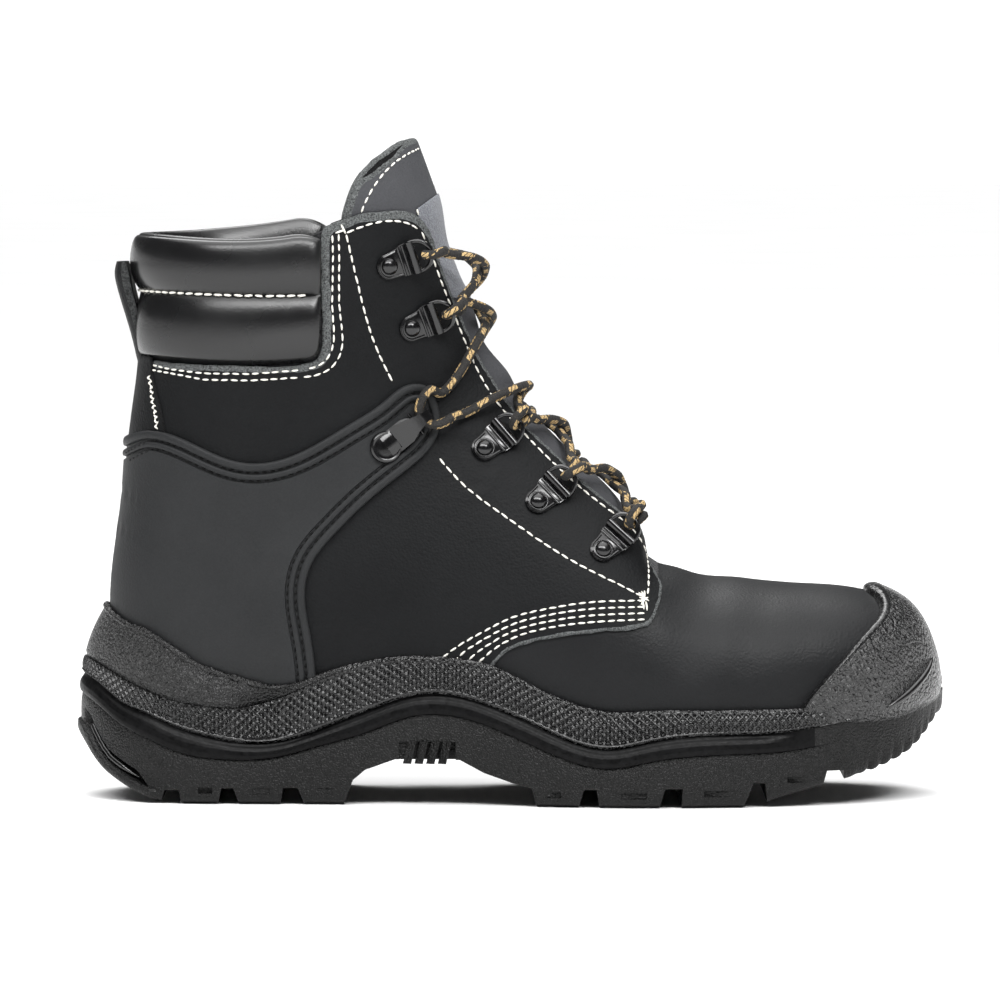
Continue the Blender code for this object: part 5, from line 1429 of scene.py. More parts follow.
def make_bumper(ring_tree):
    """Toe bumper: a moulded cap over the toe with a smooth border and a raised slash on its lateral side."""
    outline = curve(BUMPER_EDGE, 6)
    outline += [(172.0, 88.0), (172.0, 40.0), (156.0, 36.0), (144.0, 31.0), (130.0, 28.0), (112.0, 27.0)]
    edge, smooth = 1.1, 2.1

    def height(away):
        """A rounded edge, a smooth border and a slightly lower field."""
        rise = np.sqrt(np.maximum(1.0 - (1.0 - np.minimum(away / edge, 1.0)) ** 2, 0.0))
        return (BUMPER_OUT - 2.6) + 2.6 * rise - 0.12 * smoothstep(smooth - 0.5, smooth + 0.5, away)

    def field(p):
        """Distance from the edge, drawn out where the border is narrow."""
        return inside_distance(outline, p) / (0.3 + 0.8 * smoothstep(36.0, 68.0, p[:, 2]))

    levels = [edge * s for s in (0.0, 0.04, 0.15, 0.35, 0.65, 1.0)]
    levels += [smooth + s for s in (-0.5, -0.2, 0.2, 0.5)]
    made, tree = panel("toe_bumper", field, BUMPER_IN, (height, levels),
                       (GRAIN_RUBBER, HATCH_RUBBER, HATCH_RUBBER), smooth, throat_dip, 60.0)
    settle(made, "midsole_foam")
    line = []
    for x, z in even_path(smooth_path(TOE_SLASH, 6), 0.7):
        hits = [side_hit(surface, x, z, LATERAL)[0] for surface in (tree, ring_tree)]
        line.append(min((np.array(h) for h in hits if h is not None), key=lambda h: h[1]))
    share = np.linspace(0.0, 1.0, len(line))
    points, faces = tube(np.array(line), 0.2 + 1.25 * np.sin(math.pi * share) ** 0.5)
    slash = build_mesh("toe_slash", points, faces, (GLOSS_RUBBER,), None, 60.0)
    settle(flip_if_inward(slash), "midsole_foam")


def side_prism(outline):
    """A prism across the boot with the given outline in the side view."""
    count = len(outline)
    points = [(x, -95.0, z) for x, z in outline] + [(x, 95.0, z) for x, z in outline]
    faces = [tuple(range(count)), tuple(range(count, 2 * count))]
    faces += [(i, (i + 1) % count, count + (i + 1) % count, count + i) for i in range(count)]
    return flip_if_inward(build_mesh("prism", points, faces, (OUTSOLE_RUBBER,)))


def box(low, high):
    """A box between two corners."""
    points = [(x, y, z) for x in (low[0], high[0]) for y in (low[1], high[1]) for z in (low[2], high[2])]
    faces = [(0, 1, 3, 2), (4, 5, 7, 6), (0, 1, 5, 4), (2, 3, 7, 6), (0, 2, 6, 4), (1, 3, 7, 5)]
    return flip_if_inward(build_mesh("box", points, faces, (OUTSOLE_RUBBER,)))


def wall_at(x, side):
    """Half width of the sole at x on one side, with its sign."""
    rows = SOLE_PLAN[::-1]
    widths = [row.medial if side > 0.0 else row.lateral for row in rows]
    return side * float(np.interp(x, [row.x for row in rows], widths))


def arch_rib(x, side):
    """A slanted louvre on the waist, proud at its front edge."""
    half = 0.5 * ARCH_RIB_WIDTH
    wall = wall_at(x, side)
    points = []
    for height, slant in ((ARCH_RIB_FOOT, 0.0), (ARCH_RIB_TOP, ARCH_RIB_SLANT)):
        for end, reach in ((-half, -4.0), (half, -4.0), (half, 1.1), (-half, -0.5)):
            points.append((x + end + slant, wall + side * reach, height))
    faces = [(0, 1, 2, 3), (4, 5, 6, 7), (0, 1, 5, 4), (1, 2, 6, 5), (2, 3, 7, 6), (3, 0, 4, 7)]
    return flip_if_inward(build_mesh("rib", points, faces, (OUTSOLE_RUBBER,)))


def heel_floor(x):
    """Height of the outsole's lower edge, rounded where its straight runs meet."""
    return sum(np.interp(x + shift, *zip(*FLOOR_LINE)) for shift in FLOOR_SHIFTS) / len(FLOOR_SHIFTS)


def heel_slot(x, top):
    """Lower and upper edge of the slot above the lip round the heel."""
    steep = np.sqrt(1.0 + (heel_floor(x + 0.5) - heel_floor(x - 0.5)) ** 2)
    low = np.minimum(heel_floor(x) + LIP_THICK * steep, top - 5.0)
    return low, np.minimum(low + 0.4 + SLOT_HEIGHT * steep * smoothstep(-128.0, -134.0, x), top - 2.0)


def make_heel_bars():
    """Glossy bar along the foot of the slot, one on each side of the heel."""
    outline = sole_outline(WALL_STATIONS)
    half = WALL_STATIONS
    for side, part in (("lateral", slice(0, half)), ("medial", slice(half, 2 * half))):
        points, out = outline[0][part], outline[1][part]
        keep = (points[:, 0] < SLOT_FROM - 3.0) & (points[:, 0] > SLOT_TO)
        points, out = points[keep], out[keep]
        x = points[:, 0]
        low, high = heel_slot(x, level("rib_low", x))
        line = np.column_stack([points - BAR_INSET * out, low + 0.34 * (high - low)])
        taper = smoothstep(SLOT_FROM - 3.0, SLOT_FROM - 11.0, x) * smoothstep(SLOT_TO, SLOT_TO + 2.0, x)
        size = 0.15 + BAR_RADIUS * taper
        made = build_mesh(f"heel_bar_{side}", *tube(line, size, 14), (GLOSS_RUBBER,), None, 60.0)
        settle(flip_if_inward(made), "outsole_rubber")


def outsole_rings(outline):
    """Rings of the outsole's wall: rounded foot, notched toe, heel lip below a slot, undercut top."""
    x = outline[0][:, 0]
    toe = smoothstep(NOTCH_FROM, NOTCH_FULL, x)
    floor = heel_floor(x)
    notch = np.abs(np.sin(math.pi * (x + floor) / NOTCH_PITCH)) * toe
    floor = floor + NOTCH_RISE * (1.0 - notch) * toe
    top = level("rib_low", x) - 0.5 * GAP * smoothstep(PLAIN_FULL, PLAIN_FROM, x)
    depth = SLOT_DEPTH * smoothstep(SLOT_FROM, SLOT_FROM - 2.0, x)
    depth = depth * smoothstep(SLOT_TO - 1.0, SLOT_TO + 1.5, x)
    proud = LIP_PROUD * smoothstep(LIP_END, LIP_END - 2.0, x)
    slot_low, slot_high = heel_slot(x, top)
    slot_low = np.maximum(slot_low, floor + 1.0)
    slot_high = np.maximum(slot_high, slot_low + 0.3)
    rows = []
    for t in np.linspace(0.0, 1.0, 14) ** 1.3:
        rows.append((floor + (slot_low - floor) * t, -proud * max(0.0, 1.0 - (2.0 * t - 1.0) ** 4) ** 0.5))
    for t, share in ((0.04, 0.5), (0.1, 0.95), (0.5, 1.0), (0.9, 0.95), (0.96, 0.5), (1.0, 0.0)):
        rows.append((slot_low + (slot_high - slot_low) * t, depth * share))
    rows += [(slot_high + (top - slot_high) * t, 0.0) for t in np.linspace(0.0, 1.0, 12)[1:]]
    undercut = UNDERCUT * smoothstep(PLAIN_FULL, PLAIN_FROM, x)
    rings = []
    for height, sunk in rows:
        up = height - floor
        inset = 0.5 + 2.6 * np.exp(-up / 0.9) + undercut * (up / (top - floor)) ** 8
        inset = inset + NOTCH_DEPTH * (1.0 - notch) * toe * np.exp(-(up / NOTCH_REACH) ** 2)
        rings.append(sole_ring(outline, inset + sunk, height))
    return rings + [sole_ring(outline, 13.0, level("core", x))]


def make_outsole():
    """Outsole: wall, arch, lugs, waist louvres and marks on the lugs."""
    outline = sole_outline(WALL_STATIONS)
    rings = outsole_rings(outline)
    count = len(rings[0])
    half = count // 2
    faces = [tuple(f) for f in grid_faces(len(rings), count, True)]
    for base in (0, (len(rings) - 1) * count):
        faces.append((base, base + 1, base + count - 1))
        for k in range(1, half - 1):
            faces.append((base + k, base + k + 1, base + count - k - 1, base + count - k))
        faces.append((base + half - 1, base + half, base + half + 1))
    body = flip_if_inward(build_mesh("outsole", np.concatenate(rings), faces, (OUTSOLE_RUBBER,)))
    for groove in GROOVES:
        cutter = ((groove.mouth_from, BELOW_FLOOR), (groove.roof_from, groove.roof_z),
                  (groove.roof_to, groove.roof_z), (groove.mouth_to, BELOW_FLOOR))
        combine(body, side_prism(cutter), "DIFFERENCE")
    combine(body, side_prism(ARCH), "DIFFERENCE")
    for channel in CHANNELS:
        wide = 0.5 * channel.width
        low = (channel.x_from, channel.y - wide, BELOW_FLOOR)
        combine(body, box(low, (channel.x_to, channel.y + wide, channel.depth)), "DIFFERENCE")
    for side in (LATERAL, MEDIAL):
        wall = wall_at(ARCH_RIBS[1], side)
        depth = sorted((wall + side * 5.0, wall - side * ARCH_POCKET))
        low = (ARCH_RIBS[0] - ARCH_RIB_WIDTH, depth[0], ARCH_RIB_FOOT - 4.0)
        high = (ARCH_RIBS[-1] + ARCH_RIB_WIDTH + ARCH_RIB_SLANT, depth[1], ARCH_RIB_TOP)
        combine(body, box(low, high), "DIFFERENCE")
        for at in ARCH_RIBS:
            combine(body, arch_rib(at, side), "UNION")
        for mark in LUG_MARKS:
            wall = wall_at(mark.x, side)
            ends = sorted((wall + side * 4.0, wall - side * (0.6 + MARK_DEPTH)))
            half_long, half_high = 0.5 * mark.length, 0.5 * MARK_HEIGHT
            combine(body, box((mark.x - half_long, ends[0], mark.z - half_high),
                              (mark.x + half_long, ends[1], mark.z + half_high)), "DIFFERENCE")
    body.data.materials.clear()
    body.data.materials.append(OUTSOLE_RUBBER)
    soften = body.modifiers.new("soften", "BEVEL")
    soften.width = LUG_BEVEL * MM
    soften.segments = 2
    soften.limit_method = "ANGLE"
    soften.angle_limit = math.radians(38.0)
    body.data.shade_smooth()
    body.data.set_sharp_from_angle(angle=math.radians(45.0))
    settle(body, "outsole_rubber", "outsole")


# Seams

def offset_line(line, distance):
    """A side-view line moved to its right by distance."""
    ahead = headings(line)
    return np.asarray(line, float) + np.stack([ahead[:, 1], -ahead[:, 0]], axis=1) * distance


def side_points(tree, line, side):
    """Points and normals where the side view shows a line on a surface."""
    found = []
    for x, z in even_path(line, 0.6):
        hit, normal = side_hit(tree, x, z, side)
        if hit is not None:
            found.append((np.array(hit), np.array(normal)))
    return found


def wrap_points(tree, line, turn_from, turn_to):
    """Points and normals of a line that runs round the back of the shaft."""
    knots, heights = np.asarray(line, float)[::-1].T
    found = []
    for turn in np.radians(np.linspace(turn_from, turn_to, 420)):
        way = Vector((math.cos(turn), math.sin(turn), 0.0))
        z = heights.min()
        for _ in range(3):
            start = Vector((PAD_AXIS_X, 0.0, z)) + way * 150.0
            hit, normal = tree.ray_cast(start, -way)[:2]
            if hit is None:
                break
            z = float(np.interp(hit.x, knots, heights))
        if hit is not None:
            found.append((np.array(hit), np.array(normal)))
    return found


Thread = namedtuple("Thread", "pitch length radius sink")
LONG_STITCH = Thread(3.7, 3.3, 0.38, 0.06)
SHORT_STITCH = Thread(3.5, 3.0, 0.36, 0.06)
PAD_STITCH = Thread(3.7, 2.9, 0.45, -0.7)
PIPING_STITCH = Thread(2.9, 2.1, 0.34, 0.05)
CHAIN_STITCH = Thread(2.4, 2.3, 0.42, 0.05)
TACK_STITCH = Thread(9.0, 3.6, 0.38, -0.2)
STITCH_RINGS, STITCH_SIDES = 6, 6
STITCH_SEED = 7

# Bar tack where the seams meet, as short lines in the side view
TACK_LINES = (((44.2, 74.8), (48.6, 70.6)), ((45.2, 75.2), (47.6, 70.2)), ((44.4, 73.2), (48.8, 71.6)),
              ((46.4, 75.4), (46.0, 70.0)), ((44.6, 71.6), (48.6, 73.6)), ((45.0, 70.6), (48.2, 74.6)),
              ((45.6, 72.0), (46.4, 67.4)), ((46.8, 71.8), (47.4, 67.2)),
              ((-62.4, 201.2), (-57.6, 202.6)), ((-60.2, 204.2), (-58.2, 199.0)))


def stitches(name, runs, thread, material):
    """One mesh of short bent beads along runs of points and normals."""
    chance = np.random.default_rng(STITCH_SEED)
    share = np.linspace(0.0, 1.0, STITCH_RINGS)
    bow = np.sin(math.pi * share)
    lift = (thread.radius * (0.75 * bow - 0.45) - thread.sink)[:, None]
    size = (thread.radius * (0.45 + 0.55 * bow ** 0.5))[:, None, None]
    turn = (2.0 * math.pi * np.arange(STITCH_SIDES) / STITCH_SIDES)[:, None]
    template = capped_faces(STITCH_RINGS, STITCH_SIDES)
    beads = []
    for run in runs:
        if len(run) < 4:
            continue
        line = np.array([p for p, _ in run])
        normals = np.array([n for _, n in run])
        length = chord(line)
        for begin in np.arange(0.1, length[-1] - thread.length, thread.pitch):
            at = begin + thread.length * chance.uniform(0.9, 1.05) * share
            sway = chance.uniform(-0.16, 0.16) * thread.radius * np.linspace(-2.0, 2.0, STITCH_RINGS)
            centre = sample(line, length, at)
            up = unit(sample(normals, length, at))
            across = np.cross(headings(centre), up)
            centre = centre + up * lift + across * sway[:, None]
            around = np.cos(turn) * across[:, None] + np.sin(turn) * up[:, None]
            beads.append(((centre[:, None] + size * around).reshape(-1, 3), template))
    made = build_mesh(name, *joined(beads), (material,), None, 60.0)
    return settle(flip_if_inward(made), "lace_cord")


def between(first, last, share):
    """A line between two lines with the same number of points."""
    return np.asarray(first, float) * (1.0 - share) + np.asarray(last, float) * share


def make_seams(quarter_tree, strap_tree, counter, collar_tree, tongue_tree, patch_tree):
    """White and black stitching."""
    sides = (LATERAL, MEDIAL)
    long_runs, short_runs = [], []
    for side in sides:
        for line in (FACING_SEAM, TOP_SEAM, SHAFT_SEAM, QUARTER_SEAM):
            long_runs.append(side_points(quarter_tree, smooth_path(line, 6), side))
        for row in range(LOW_SEAM_ROWS):
            line = between(LOW_SEAM_FIRST, LOW_SEAM_LAST, row / (LOW_SEAM_ROWS - 1))
            short_runs.append(side_points(quarter_tree, smooth_path(line, 6), side))
        for line in (WINDOW_SEAM_IN, WINDOW_SEAM_OUT):
            short_runs.append(side_points(quarter_tree, smooth_path(line[:6], 6), side))
        short_runs.append(side_points(tongue_tree, smooth_path(TONGUE_SEAM, 6), side))
        short_runs.append(side_points(patch_tree, smooth_path(PATCH_SEAM, 4), side))
    for line in (WINDOW_SEAM_IN, WINDOW_SEAM_OUT):
        short_runs.append(wrap_points(quarter_tree, line[5:], 70.0, 290.0))
    seam = [(row.x, row.seam) for row in PAD_LINES[::-1]]
    pad_run = []
    for p, _ in wrap_points(collar_tree, seam, PAD_FRONT_ANGLE + 2.0, 358.0 - PAD_FRONT_ANGLE):
        way = np.array([p[0] - PAD_AXIS_X, p[1], 0.0])
        pad_run.append((p, way / np.linalg.norm(way)))
    stitches("pad_stitches", [pad_run], PAD_STITCH, WHITE_THREAD)
    stitches("long_stitches", long_runs, LONG_STITCH, WHITE_THREAD)
    stitches("short_stitches", short_runs, SHORT_STITCH, WHITE_THREAD)
    counter_tree, lines = counter
    piping = [side_points(counter_tree, line, side) for line in lines for side in sides]
    stitches("piping_stitches", piping, PIPING_STITCH, BLACK_THREAD)
    chain = []
    for side in sides:
        run = side_points(strap_tree, CHAIN_SEAM, side)
        for share, way in ((0.0, 1.0), (0.5, -1.0)):
            shifted = []
            for i, (p, n) in enumerate(run):
                swing = 0.9 * math.sin(2.0 * math.pi * (i / 7.0 + share))
                shifted.append((p + np.array([swing, 0.0, 0.0]), n))
            chain.append(shifted)
    stitches("chain_stitches", chain, CHAIN_STITCH, WHITE_THREAD)
    tacks = [side_points(quarter_tree, line, side) for line in TACK_LINES for side in sides]
    stitches("bartacks", tacks, TACK_STITCH, WHITE_THREAD)


# Fittings

def fitting_frame(tree, row, foot, side):
    """Place of a fitting: its foot on the boot and its along, across and out directions."""
    hit, out = side_hit(tree, row.x, row.z, side)
    out = np.array(out)
    aim = np.array([math.cos(math.radians(row.angle)), 0.0, math.sin(math.radians(row.angle))])
    along = aim - out * np.dot(aim, out)
    along /= np.linalg.norm(along)
    return np.array(hit) + out * foot, along, np.cross(out, along), out


def placed(place_frame, points):
    """Points given along, across and out of a fitting, moved to its place on the boot."""
    foot, along, across, out = place_frame
    points = np.asarray(points, float)
    return foot + points[:, :1] * along + points[:, 1:2] * across + points[:, 2:3] * out


def tube(points, radius, sides=10, closed=False):
    """Points and faces of a round bar along a row of points; radius is one number or one for each point."""
    line = np.asarray(points, float)
    radii = np.repeat(np.broadcast_to(radius, len(line))[:, None], sides, axis=1)
    ahead = unit(np.roll(line, -1, axis=0) - np.roll(line, 1, axis=0)) if closed else headings(line)
    guide = np.array([0.0, 0.0, 1.0]) if abs(ahead[0][2]) < 0.9 else np.array([0.0, 1.0, 0.0])
    faces = looped_faces(len(line), sides) if closed else capped_faces(len(line), sides)
    return swept(line, ahead, guide, radii), faces


def lathe(profile, sides=28):
    """Points and faces of a solid turned about the out direction, from (radius, height) rows."""
    turns = 2.0 * math.pi * np.arange(sides) / sides
    rows = [(radius * math.cos(t), radius * math.sin(t), height) for radius, height in profile for t in turns]
    return np.array(rows), capped_faces(len(profile), sides)


def plate(outline, low, high, soft):
    """Points and faces of a flat plate with softened upper edges."""
    line = np.asarray(outline, float)
    middle = line.mean(axis=0)
    rows = []
    for inset, height in ((0.0, low), (0.0, high - soft), (0.3 * soft, high - 0.3 * soft), (soft, high)):
        away = line - middle
        size = np.linalg.norm(away, axis=1, keepdims=True)
        rows.append(np.column_stack([middle + away * (1.0 - inset / size), np.full(len(line), height)]))
    return np.concatenate(rows), capped_faces(len(rows), len(line))


def joined(parts):
    """Several sets of points and faces as one."""
    points, faces, base = [], [], 0
    for some, others in parts:
        points.append(np.asarray(some, float))
        faces += [tuple(base + i for i in f) for f in others]
        base += len(some)
    return np.concatenate(points), faces


def dome_profile(radius, low, height):
    """Half a rivet head as (radius, height) rows."""
    rows = [(radius, low)]
    for turn in np.linspace(0.0, 0.5 * math.pi, 9)[:-1]:
        rows.append((radius * math.cos(turn), low + height * (0.15 + 0.85 * math.sin(turn))))
    return rows + [(0.02, low + height)]


def ring_loop(half, lift):
    """Line of the D-ring: a straight stretch in the barrel and a round bow."""
    tilt = math.radians(RING_TILT)
    loop = []
    for turn in np.linspace(-0.5 * math.pi, 0.5 * math.pi, 25):
        reach = RING_REACH * math.cos(turn) ** 0.85
        at = PLATE_BAR_AT + reach * math.cos(tilt)
        loop.append((at, half * math.sin(turn), lift + reach * math.sin(tilt)))
    return np.array(loop + [(PLATE_BAR_AT, half * s, lift) for s in np.linspace(0.9, -0.9, 9)])


def make_eyelet(tree, name, row, side):
    """D-ring eyelet: plate with a raised border, rivet head, pressed bars, rolled barrel and wire ring."""
    place_frame = fitting_frame(tree, row, EYELET_FOOT, side)
    half = 0.5 * PLATE_BAR_WIDTH
    turns = np.radians(np.linspace(105.0, 255.0, 21))
    end = [(PLATE_END_RADIUS * math.cos(t), PLATE_END_RADIUS * math.sin(t)) for t in turns]
    neck = [(PLATE_BAR_AT - 5.2, -0.86 * half), (PLATE_BAR_AT - 3.4, -half), (PLATE_BAR_AT + 0.4, -half)]
    outline = end + neck + [(a, -b) for a, b in reversed(neck)]
    parts = [plate(outline, 0.0, PLATE_THICK, 0.35)]
    edge = neck[:1] + end[::-1] + [(neck[0][0], -neck[0][1])]
    border = [(0.86 * a, 0.86 * b, PLATE_THICK) for a, b in edge]
    parts.append(tube(border, 0.42, 8))
    if row.ringed:
        rim = [(3.75, 0.9), (3.75, 1.15), (3.55, 1.3), (3.3, 1.3), (3.15, 1.15), (3.1, 0.95)]
        parts += [lathe(rim), lathe(dome_profile(2.9, 0.8, 2.2))]
    else:
        parts.append(lathe(dome_profile(3.0, 0.9, 2.5)))
    barrel = [(PLATE_BAR_AT, half * s, BARREL_RADIUS) for s in np.linspace(-1.0, 1.0, 7)]
    parts.append(tube(barrel, BARREL_RADIUS, 16))
    for at in (2.7, 4.5):
        bar = [(PLATE_BAR_AT - at, half * s * 0.92, PLATE_THICK) for s in np.linspace(-1.0, 1.0, 5)]
        parts.append(tube(bar, 0.5, 10))
    parts.append(tube(ring_loop(half - 0.2, BARREL_RADIUS), RING_WIRE, 10, True))
    points, faces = joined(parts)
    made = build_mesh(name, placed(place_frame, points), faces, (METAL,), None, 38.0)
    settle(flip_if_inward(made), "black_metal", name)


def make_hook(tree, name, side):
    """Lock hook: a riveted disc on a plate that turns out at the front and back over itself."""
    place_frame = fitting_frame(tree, HOOK, HOOK_FOOT, side)
    centre = HOOK_THROAT + PLATE_THICK
    turns = np.linspace(-0.5 * math.pi, 0.5 * math.pi, 15)
    run = [(a, PLATE_THICK * 0.5) for a in np.linspace(0.0, HOOK_REACH, 8)[:-1]]
    bend = HOOK_THROAT + 0.5 * PLATE_THICK
    run += [(HOOK_REACH + bend * math.cos(t), centre + bend * math.sin(t)) for t in turns]
    drop = centre + bend - 2.2
    for t in np.linspace(0.0, 1.0, 15)[1:]:
        fall = drop * (0.25 * t + 0.75 * t * t)
        run.append((HOOK_REACH + (HOOK_LIP - HOOK_REACH) * t, centre + bend - fall))
    line = np.array(run)
    ahead = headings(line)
    out = np.stack([-ahead[:, 1], ahead[:, 0]], axis=1)
    share = chord(line) / chord(line)[-1]
    narrow = smoothstep(0.28, 0.42, share) * smoothstep(1.02, 0.55, share)
    width = 0.5 * (HOOK_WIDTH + (HOOK_NECK - HOOK_WIDTH) * narrow)
    rows = []
    for p, n, w in zip(line, out, width):
        a = p - n * 0.5 * PLATE_THICK
        b = p + n * 0.5 * PLATE_THICK
        row = [(a[0], -w, a[1]), (a[0], w, a[1])]
        for share in (1.0, 0.92, 0.5, 0.0, -0.5, -0.92, -1.0):
            crown = HOOK_CROWN * (1.0 - share * share)
            row.append((b[0] + n[0] * crown, share * w, b[1] + n[1] * crown))
        rows.append(row)
    grid = np.array(rows).reshape(-1, 3)
    faces = capped_faces(len(rows), len(rows[0]))
    edge = HOOK_BASE_RADIUS
    base = [(edge, 0.0), (edge, 0.9), (edge - 0.4, 1.5), (edge - 0.9, 1.7), (edge - 1.3, 1.5),
            (edge - 1.6, 1.4), (0.5 * edge, 1.65), (0.1, 1.75)]
    ribs = [tube([(HOOK_REACH - at, HOOK_WIDTH * s, PLATE_THICK) for s in (-0.5, -0.2, 0.2, 0.5)], 0.45, 10)
            for at in (0.0, 3.0)]
    points, faces = joined([(grid, faces), lathe(base, 36)] + ribs)
    made = build_mesh(name, placed(place_frame, points), faces, (METAL,), None, 38.0)
    settle(flip_if_inward(made), "black_metal", name)


# Lace

def through_ring(place_frame, side, falling):
    """Points of the lace through a D-ring, from under its bow, round and out over it."""
    b = -side * (1.2 if falling else -1.2)
    far = PLATE_BAR_AT + RING_REACH
    points = [(far + 4.0, 1.2 * b, 2.2), (far + 0.3, b, 1.7), (PLATE_BAR_AT + 4.0, 0.4 * b, 2.2),
              (PLATE_BAR_AT + 3.1, 0.0, 4.4), (PLATE_BAR_AT + 4.4, -0.5 * b, 6.4), (far + 0.8, -b, 6.5),
              (far + 4.5, -1.2 * b, 3.9)]
    return placed(place_frame, points)


def through_hook(place_frame, side, falling):
    """Points of the lace round the throat of a hook."""
    b = -side * (5.4 if falling else -5.4)
    lift = HOOK_THROAT + PLATE_THICK
    half = [(HOOK_REACH + 9.0, 1.15 * b, lift - 1.0), (HOOK_REACH + 3.4, b, lift),
            (HOOK_REACH + 0.4, 0.55 * b, lift)]
    other = [(along, -across, out) for along, across, out in reversed(half)]
    return placed(place_frame, half + [(HOOK_REACH - 0.4, 0.0, lift)] + other)


def crossing(tree, start, end, slack, swing, over):
    """Points of one run over the tongue, between the ends of two passes."""
    found = []
    for t in (0.12, 0.28, 0.4, 0.5, 0.6, 0.72, 0.88):
        straight = start + (end - start) * t
        straight[2] += swing * (end[2] - start[2]) * (float(smoothstep(0.1, 0.9, t)) - t)
        hit, normal = tree.find_nearest(Vector(straight))[:2]
        hit, normal = np.array(hit), np.array(normal)
        edge = smoothstep(4.0, 18.0, abs(hit[1]))
        lift = CROSS_ON_TONGUE + (CROSS_ON_FACING - CROSS_ON_TONGUE) * float(edge)
        middle = math.exp(-((t - 0.5) / 0.24) ** 2)
        lift += slack * math.sin(math.pi * t) ** 2 + (CROSS_OVER * middle if over else 0.0)
        found.append(hit + normal * lift)
    return found


def lace_route(tree):
    """Centre line of the lace, from its hidden end at one top eyelet, down, across the foot and up again."""
    rows = EYELETS[:HOOK_STATION] + (HOOK,) + EYELETS[HOOK_STATION:]
    top = len(rows) - 1
    stops = []
    side = LATERAL
    for station in range(top, -1, -1):
        stops.append((station, side, True))
        side = -side
    side = -side
    for station in range(top + 1):
        side = -side
        stops.append((station, side, False))
    passes = []
    for station, side, falling in stops:
        row = rows[station]
        foot = HOOK_FOOT if row is HOOK else EYELET_FOOT
        place_frame = fitting_frame(tree, row, foot, side)
        passes.append((through_hook if row is HOOK else through_ring)(place_frame, side, falling))
    route = list(passes[0][3:])
    for i in range(1, len(stops)):
        low = min(stops[i - 1][0], stops[i][0])
        same = stops[i - 1][0] == stops[i][0]
        slack = CROSS_FOOT_SLACK if same else CROSS_SLACK[low]
        over = not same and stops[i][2] == (low % 2 == 0)
        swing = 0.0 if same else CROSS_SWING[low]
        route += crossing(tree, passes[i - 1][-1], passes[i][0], slack, swing, over)
        route += list(passes[i] if i < len(stops) - 1 else passes[i][:4])
    line = even_path(smooth_path(np.array(route), 8), LACE_STEP)
    for _ in range(LACE_SMOOTHING):
        line[1:-1] = 0.25 * line[:-2] + 0.5 * line[1:-1] + 0.25 * line[2:]
    return line


def make_lace(tree):
    """Lace: a round braid through rings and hooks."""
    line = lace_route(tree)
    length = chord(line)
    turn = 3.0 * np.arange(LACE_SIDES) / LACE_SIDES
    run = length[:, None] / LACE_PICK
    weave = np.sin(2.0 * math.pi * (turn + run)) * np.sin(2.0 * math.pi * (turn - run))
    radii = LACE_RADIUS * (1.0 + LACE_RELIEF * weave)
    points = swept(line, headings(line), np.array([0.0, 0.0, 1.0]), radii)
    faces = capped_faces(len(line), LACE_SIDES)
    faces[-2] = faces[-2][::-1]
    made = build_mesh("lace", points, faces, (LACE_CORD,), None, 70.0)
    layer = made.data.uv_layers.new(name="UVMap")
    corner = np.zeros(len(made.data.loops), np.int32)
    made.data.loops.foreach_get("vertex_index", corner)
    uv = np.stack([length[corner // LACE_SIDES], (corner % LACE_SIDES) / LACE_SIDES], axis=1)
    for polygon in made.data.polygons:
        at = np.arange(polygon.loop_start, polygon.loop_start + polygon.loop_total)
        if polygon.loop_total == 4 and np.ptp(uv[at, 1]) > 0.5:
            uv[at[uv[at, 1] < 0.5], 1] += 1.0
    layer.data.foreach_set("uv", uv.astype(np.float32).ravel())
    settle(made, "lace_cord", "lace_bar", *(f"lace_cross_{i}" for i in range(1, 6)))


# Stage

def make_world():
    """Studio sky: a broad light overhead, a white belt at the horizon and dark between them."""
    world = bpy.data.worlds.new("studio")
    world.use_nodes = True
    tree = world.node_tree
    way = tree.nodes.new("ShaderNodeTexCoord")
    split = tree.nodes.new("ShaderNodeSeparateXYZ")
    tree.links.new(way.outputs["Generated"], split.inputs["Vector"])
    sky = tree.nodes.new("ShaderNodeValToRGB")
    elements = sky.color_ramp.elements
    while len(elements) < len(SKY):
        elements.new(0.5)
    for element, (position, grey) in zip(elements, SKY):
        element.position = position
        element.color = (grey, grey, grey, 1.0)
    tree.links.new(split.outputs["Z"], sky.inputs["Fac"])
    tree.links.new(sky.outputs["Color"], tree.nodes["Background"].inputs["Color"])
    tree.nodes["Background"].inputs["Strength"].default_value = SKY_STRENGTH
    bpy.context.scene.world = world


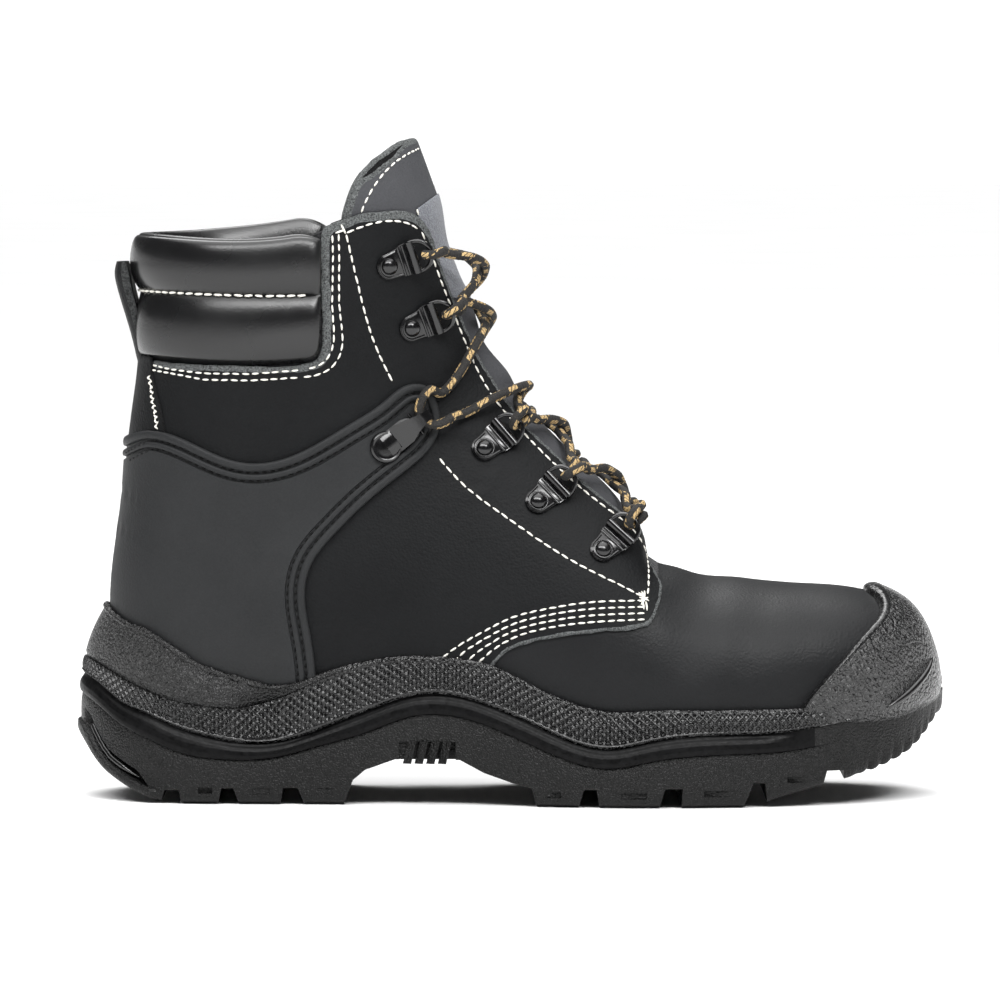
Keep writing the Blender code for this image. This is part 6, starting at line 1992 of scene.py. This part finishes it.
def make_stage():
    """Pale floor, soft light and the camera of the photograph."""
    bpy.ops.mesh.primitive_circle_add(vertices=96, radius=FLOOR_RADIUS, fill_type="NGON",
                                      location=(0.0, 0.0, -FLOOR_DROP))
    floor = bpy.context.object
    floor.name = "floor"
    pale, tree, shader = new_material("pale_floor", 0.8, Specular_IOR_Level=0.1)
    cloud = noise(tree, place(tree), 3.0)
    wire(tree, shader, Base_Color=ramp(tree, cloud, 0.3, 0.7, (0.86, 0.86, 0.86), (0.88, 0.88, 0.88)))
    floor.data.materials.append(pale)
    make_world()
    for row in LAMPS:
        data = bpy.data.lights.new(row.name, "AREA")
        data.shape = "RECTANGLE"
        data.size = row.wide
        data.size_y = row.high
        data.energy = row.power
        lamp = bpy.data.objects.new(row.name, data)
        lamp.location = row.spot
        lamp.rotation_euler = (Vector(LAMP_AIM) - Vector(row.spot)).to_track_quat("-Z", "Y").to_euler()
        bpy.context.scene.collection.objects.link(lamp)
    tilt = math.radians(VIEW_ELEVATION)
    forward = Vector((0.0, math.cos(tilt), -math.sin(tilt)))
    data = bpy.data.cameras.new("camera")
    data.lens = VIEW_LENS
    data.sensor_width = SENSOR
    camera = bpy.data.objects.new("camera", data)
    camera.location = (Vector(VIEW_TARGET) - forward * VIEW_DISTANCE) * MM
    camera.rotation_euler = forward.to_track_quat("-Z", "Y").to_euler()
    bpy.context.scene.collection.objects.link(camera)
    bpy.context.scene.camera = camera
    bpy.context.scene.view_settings.view_transform = "Standard"


def main():
    """Dress the boot and set the stage."""
    tree = last_tree()
    quarter_tree, strap_tree = make_upper()
    counter = make_counter()
    tongue_tree, patch_tree = make_tongue()
    make_footbed()
    collar_tree = make_collar(tree)
    make_pull_tab(tree)
    ring_tree = make_midsole(tree)
    for side_name, side in SIDES:
        make_band(tree, side_name, side)
    make_bumper(ring_tree)
    make_outsole()
    make_heel_bars()
    make_seams(quarter_tree, strap_tree, counter, collar_tree, tongue_tree, patch_tree)
    for i, row in enumerate(EYELETS, 1):
        for side_name, side in SIDES:
            make_eyelet(tree, f"eyelet_{side_name}_{i}", row, side)
    for side_name, side in SIDES:
        make_hook(tree, f"hook_{side_name}", side)
    make_lace(tree)
    make_stage()


main()
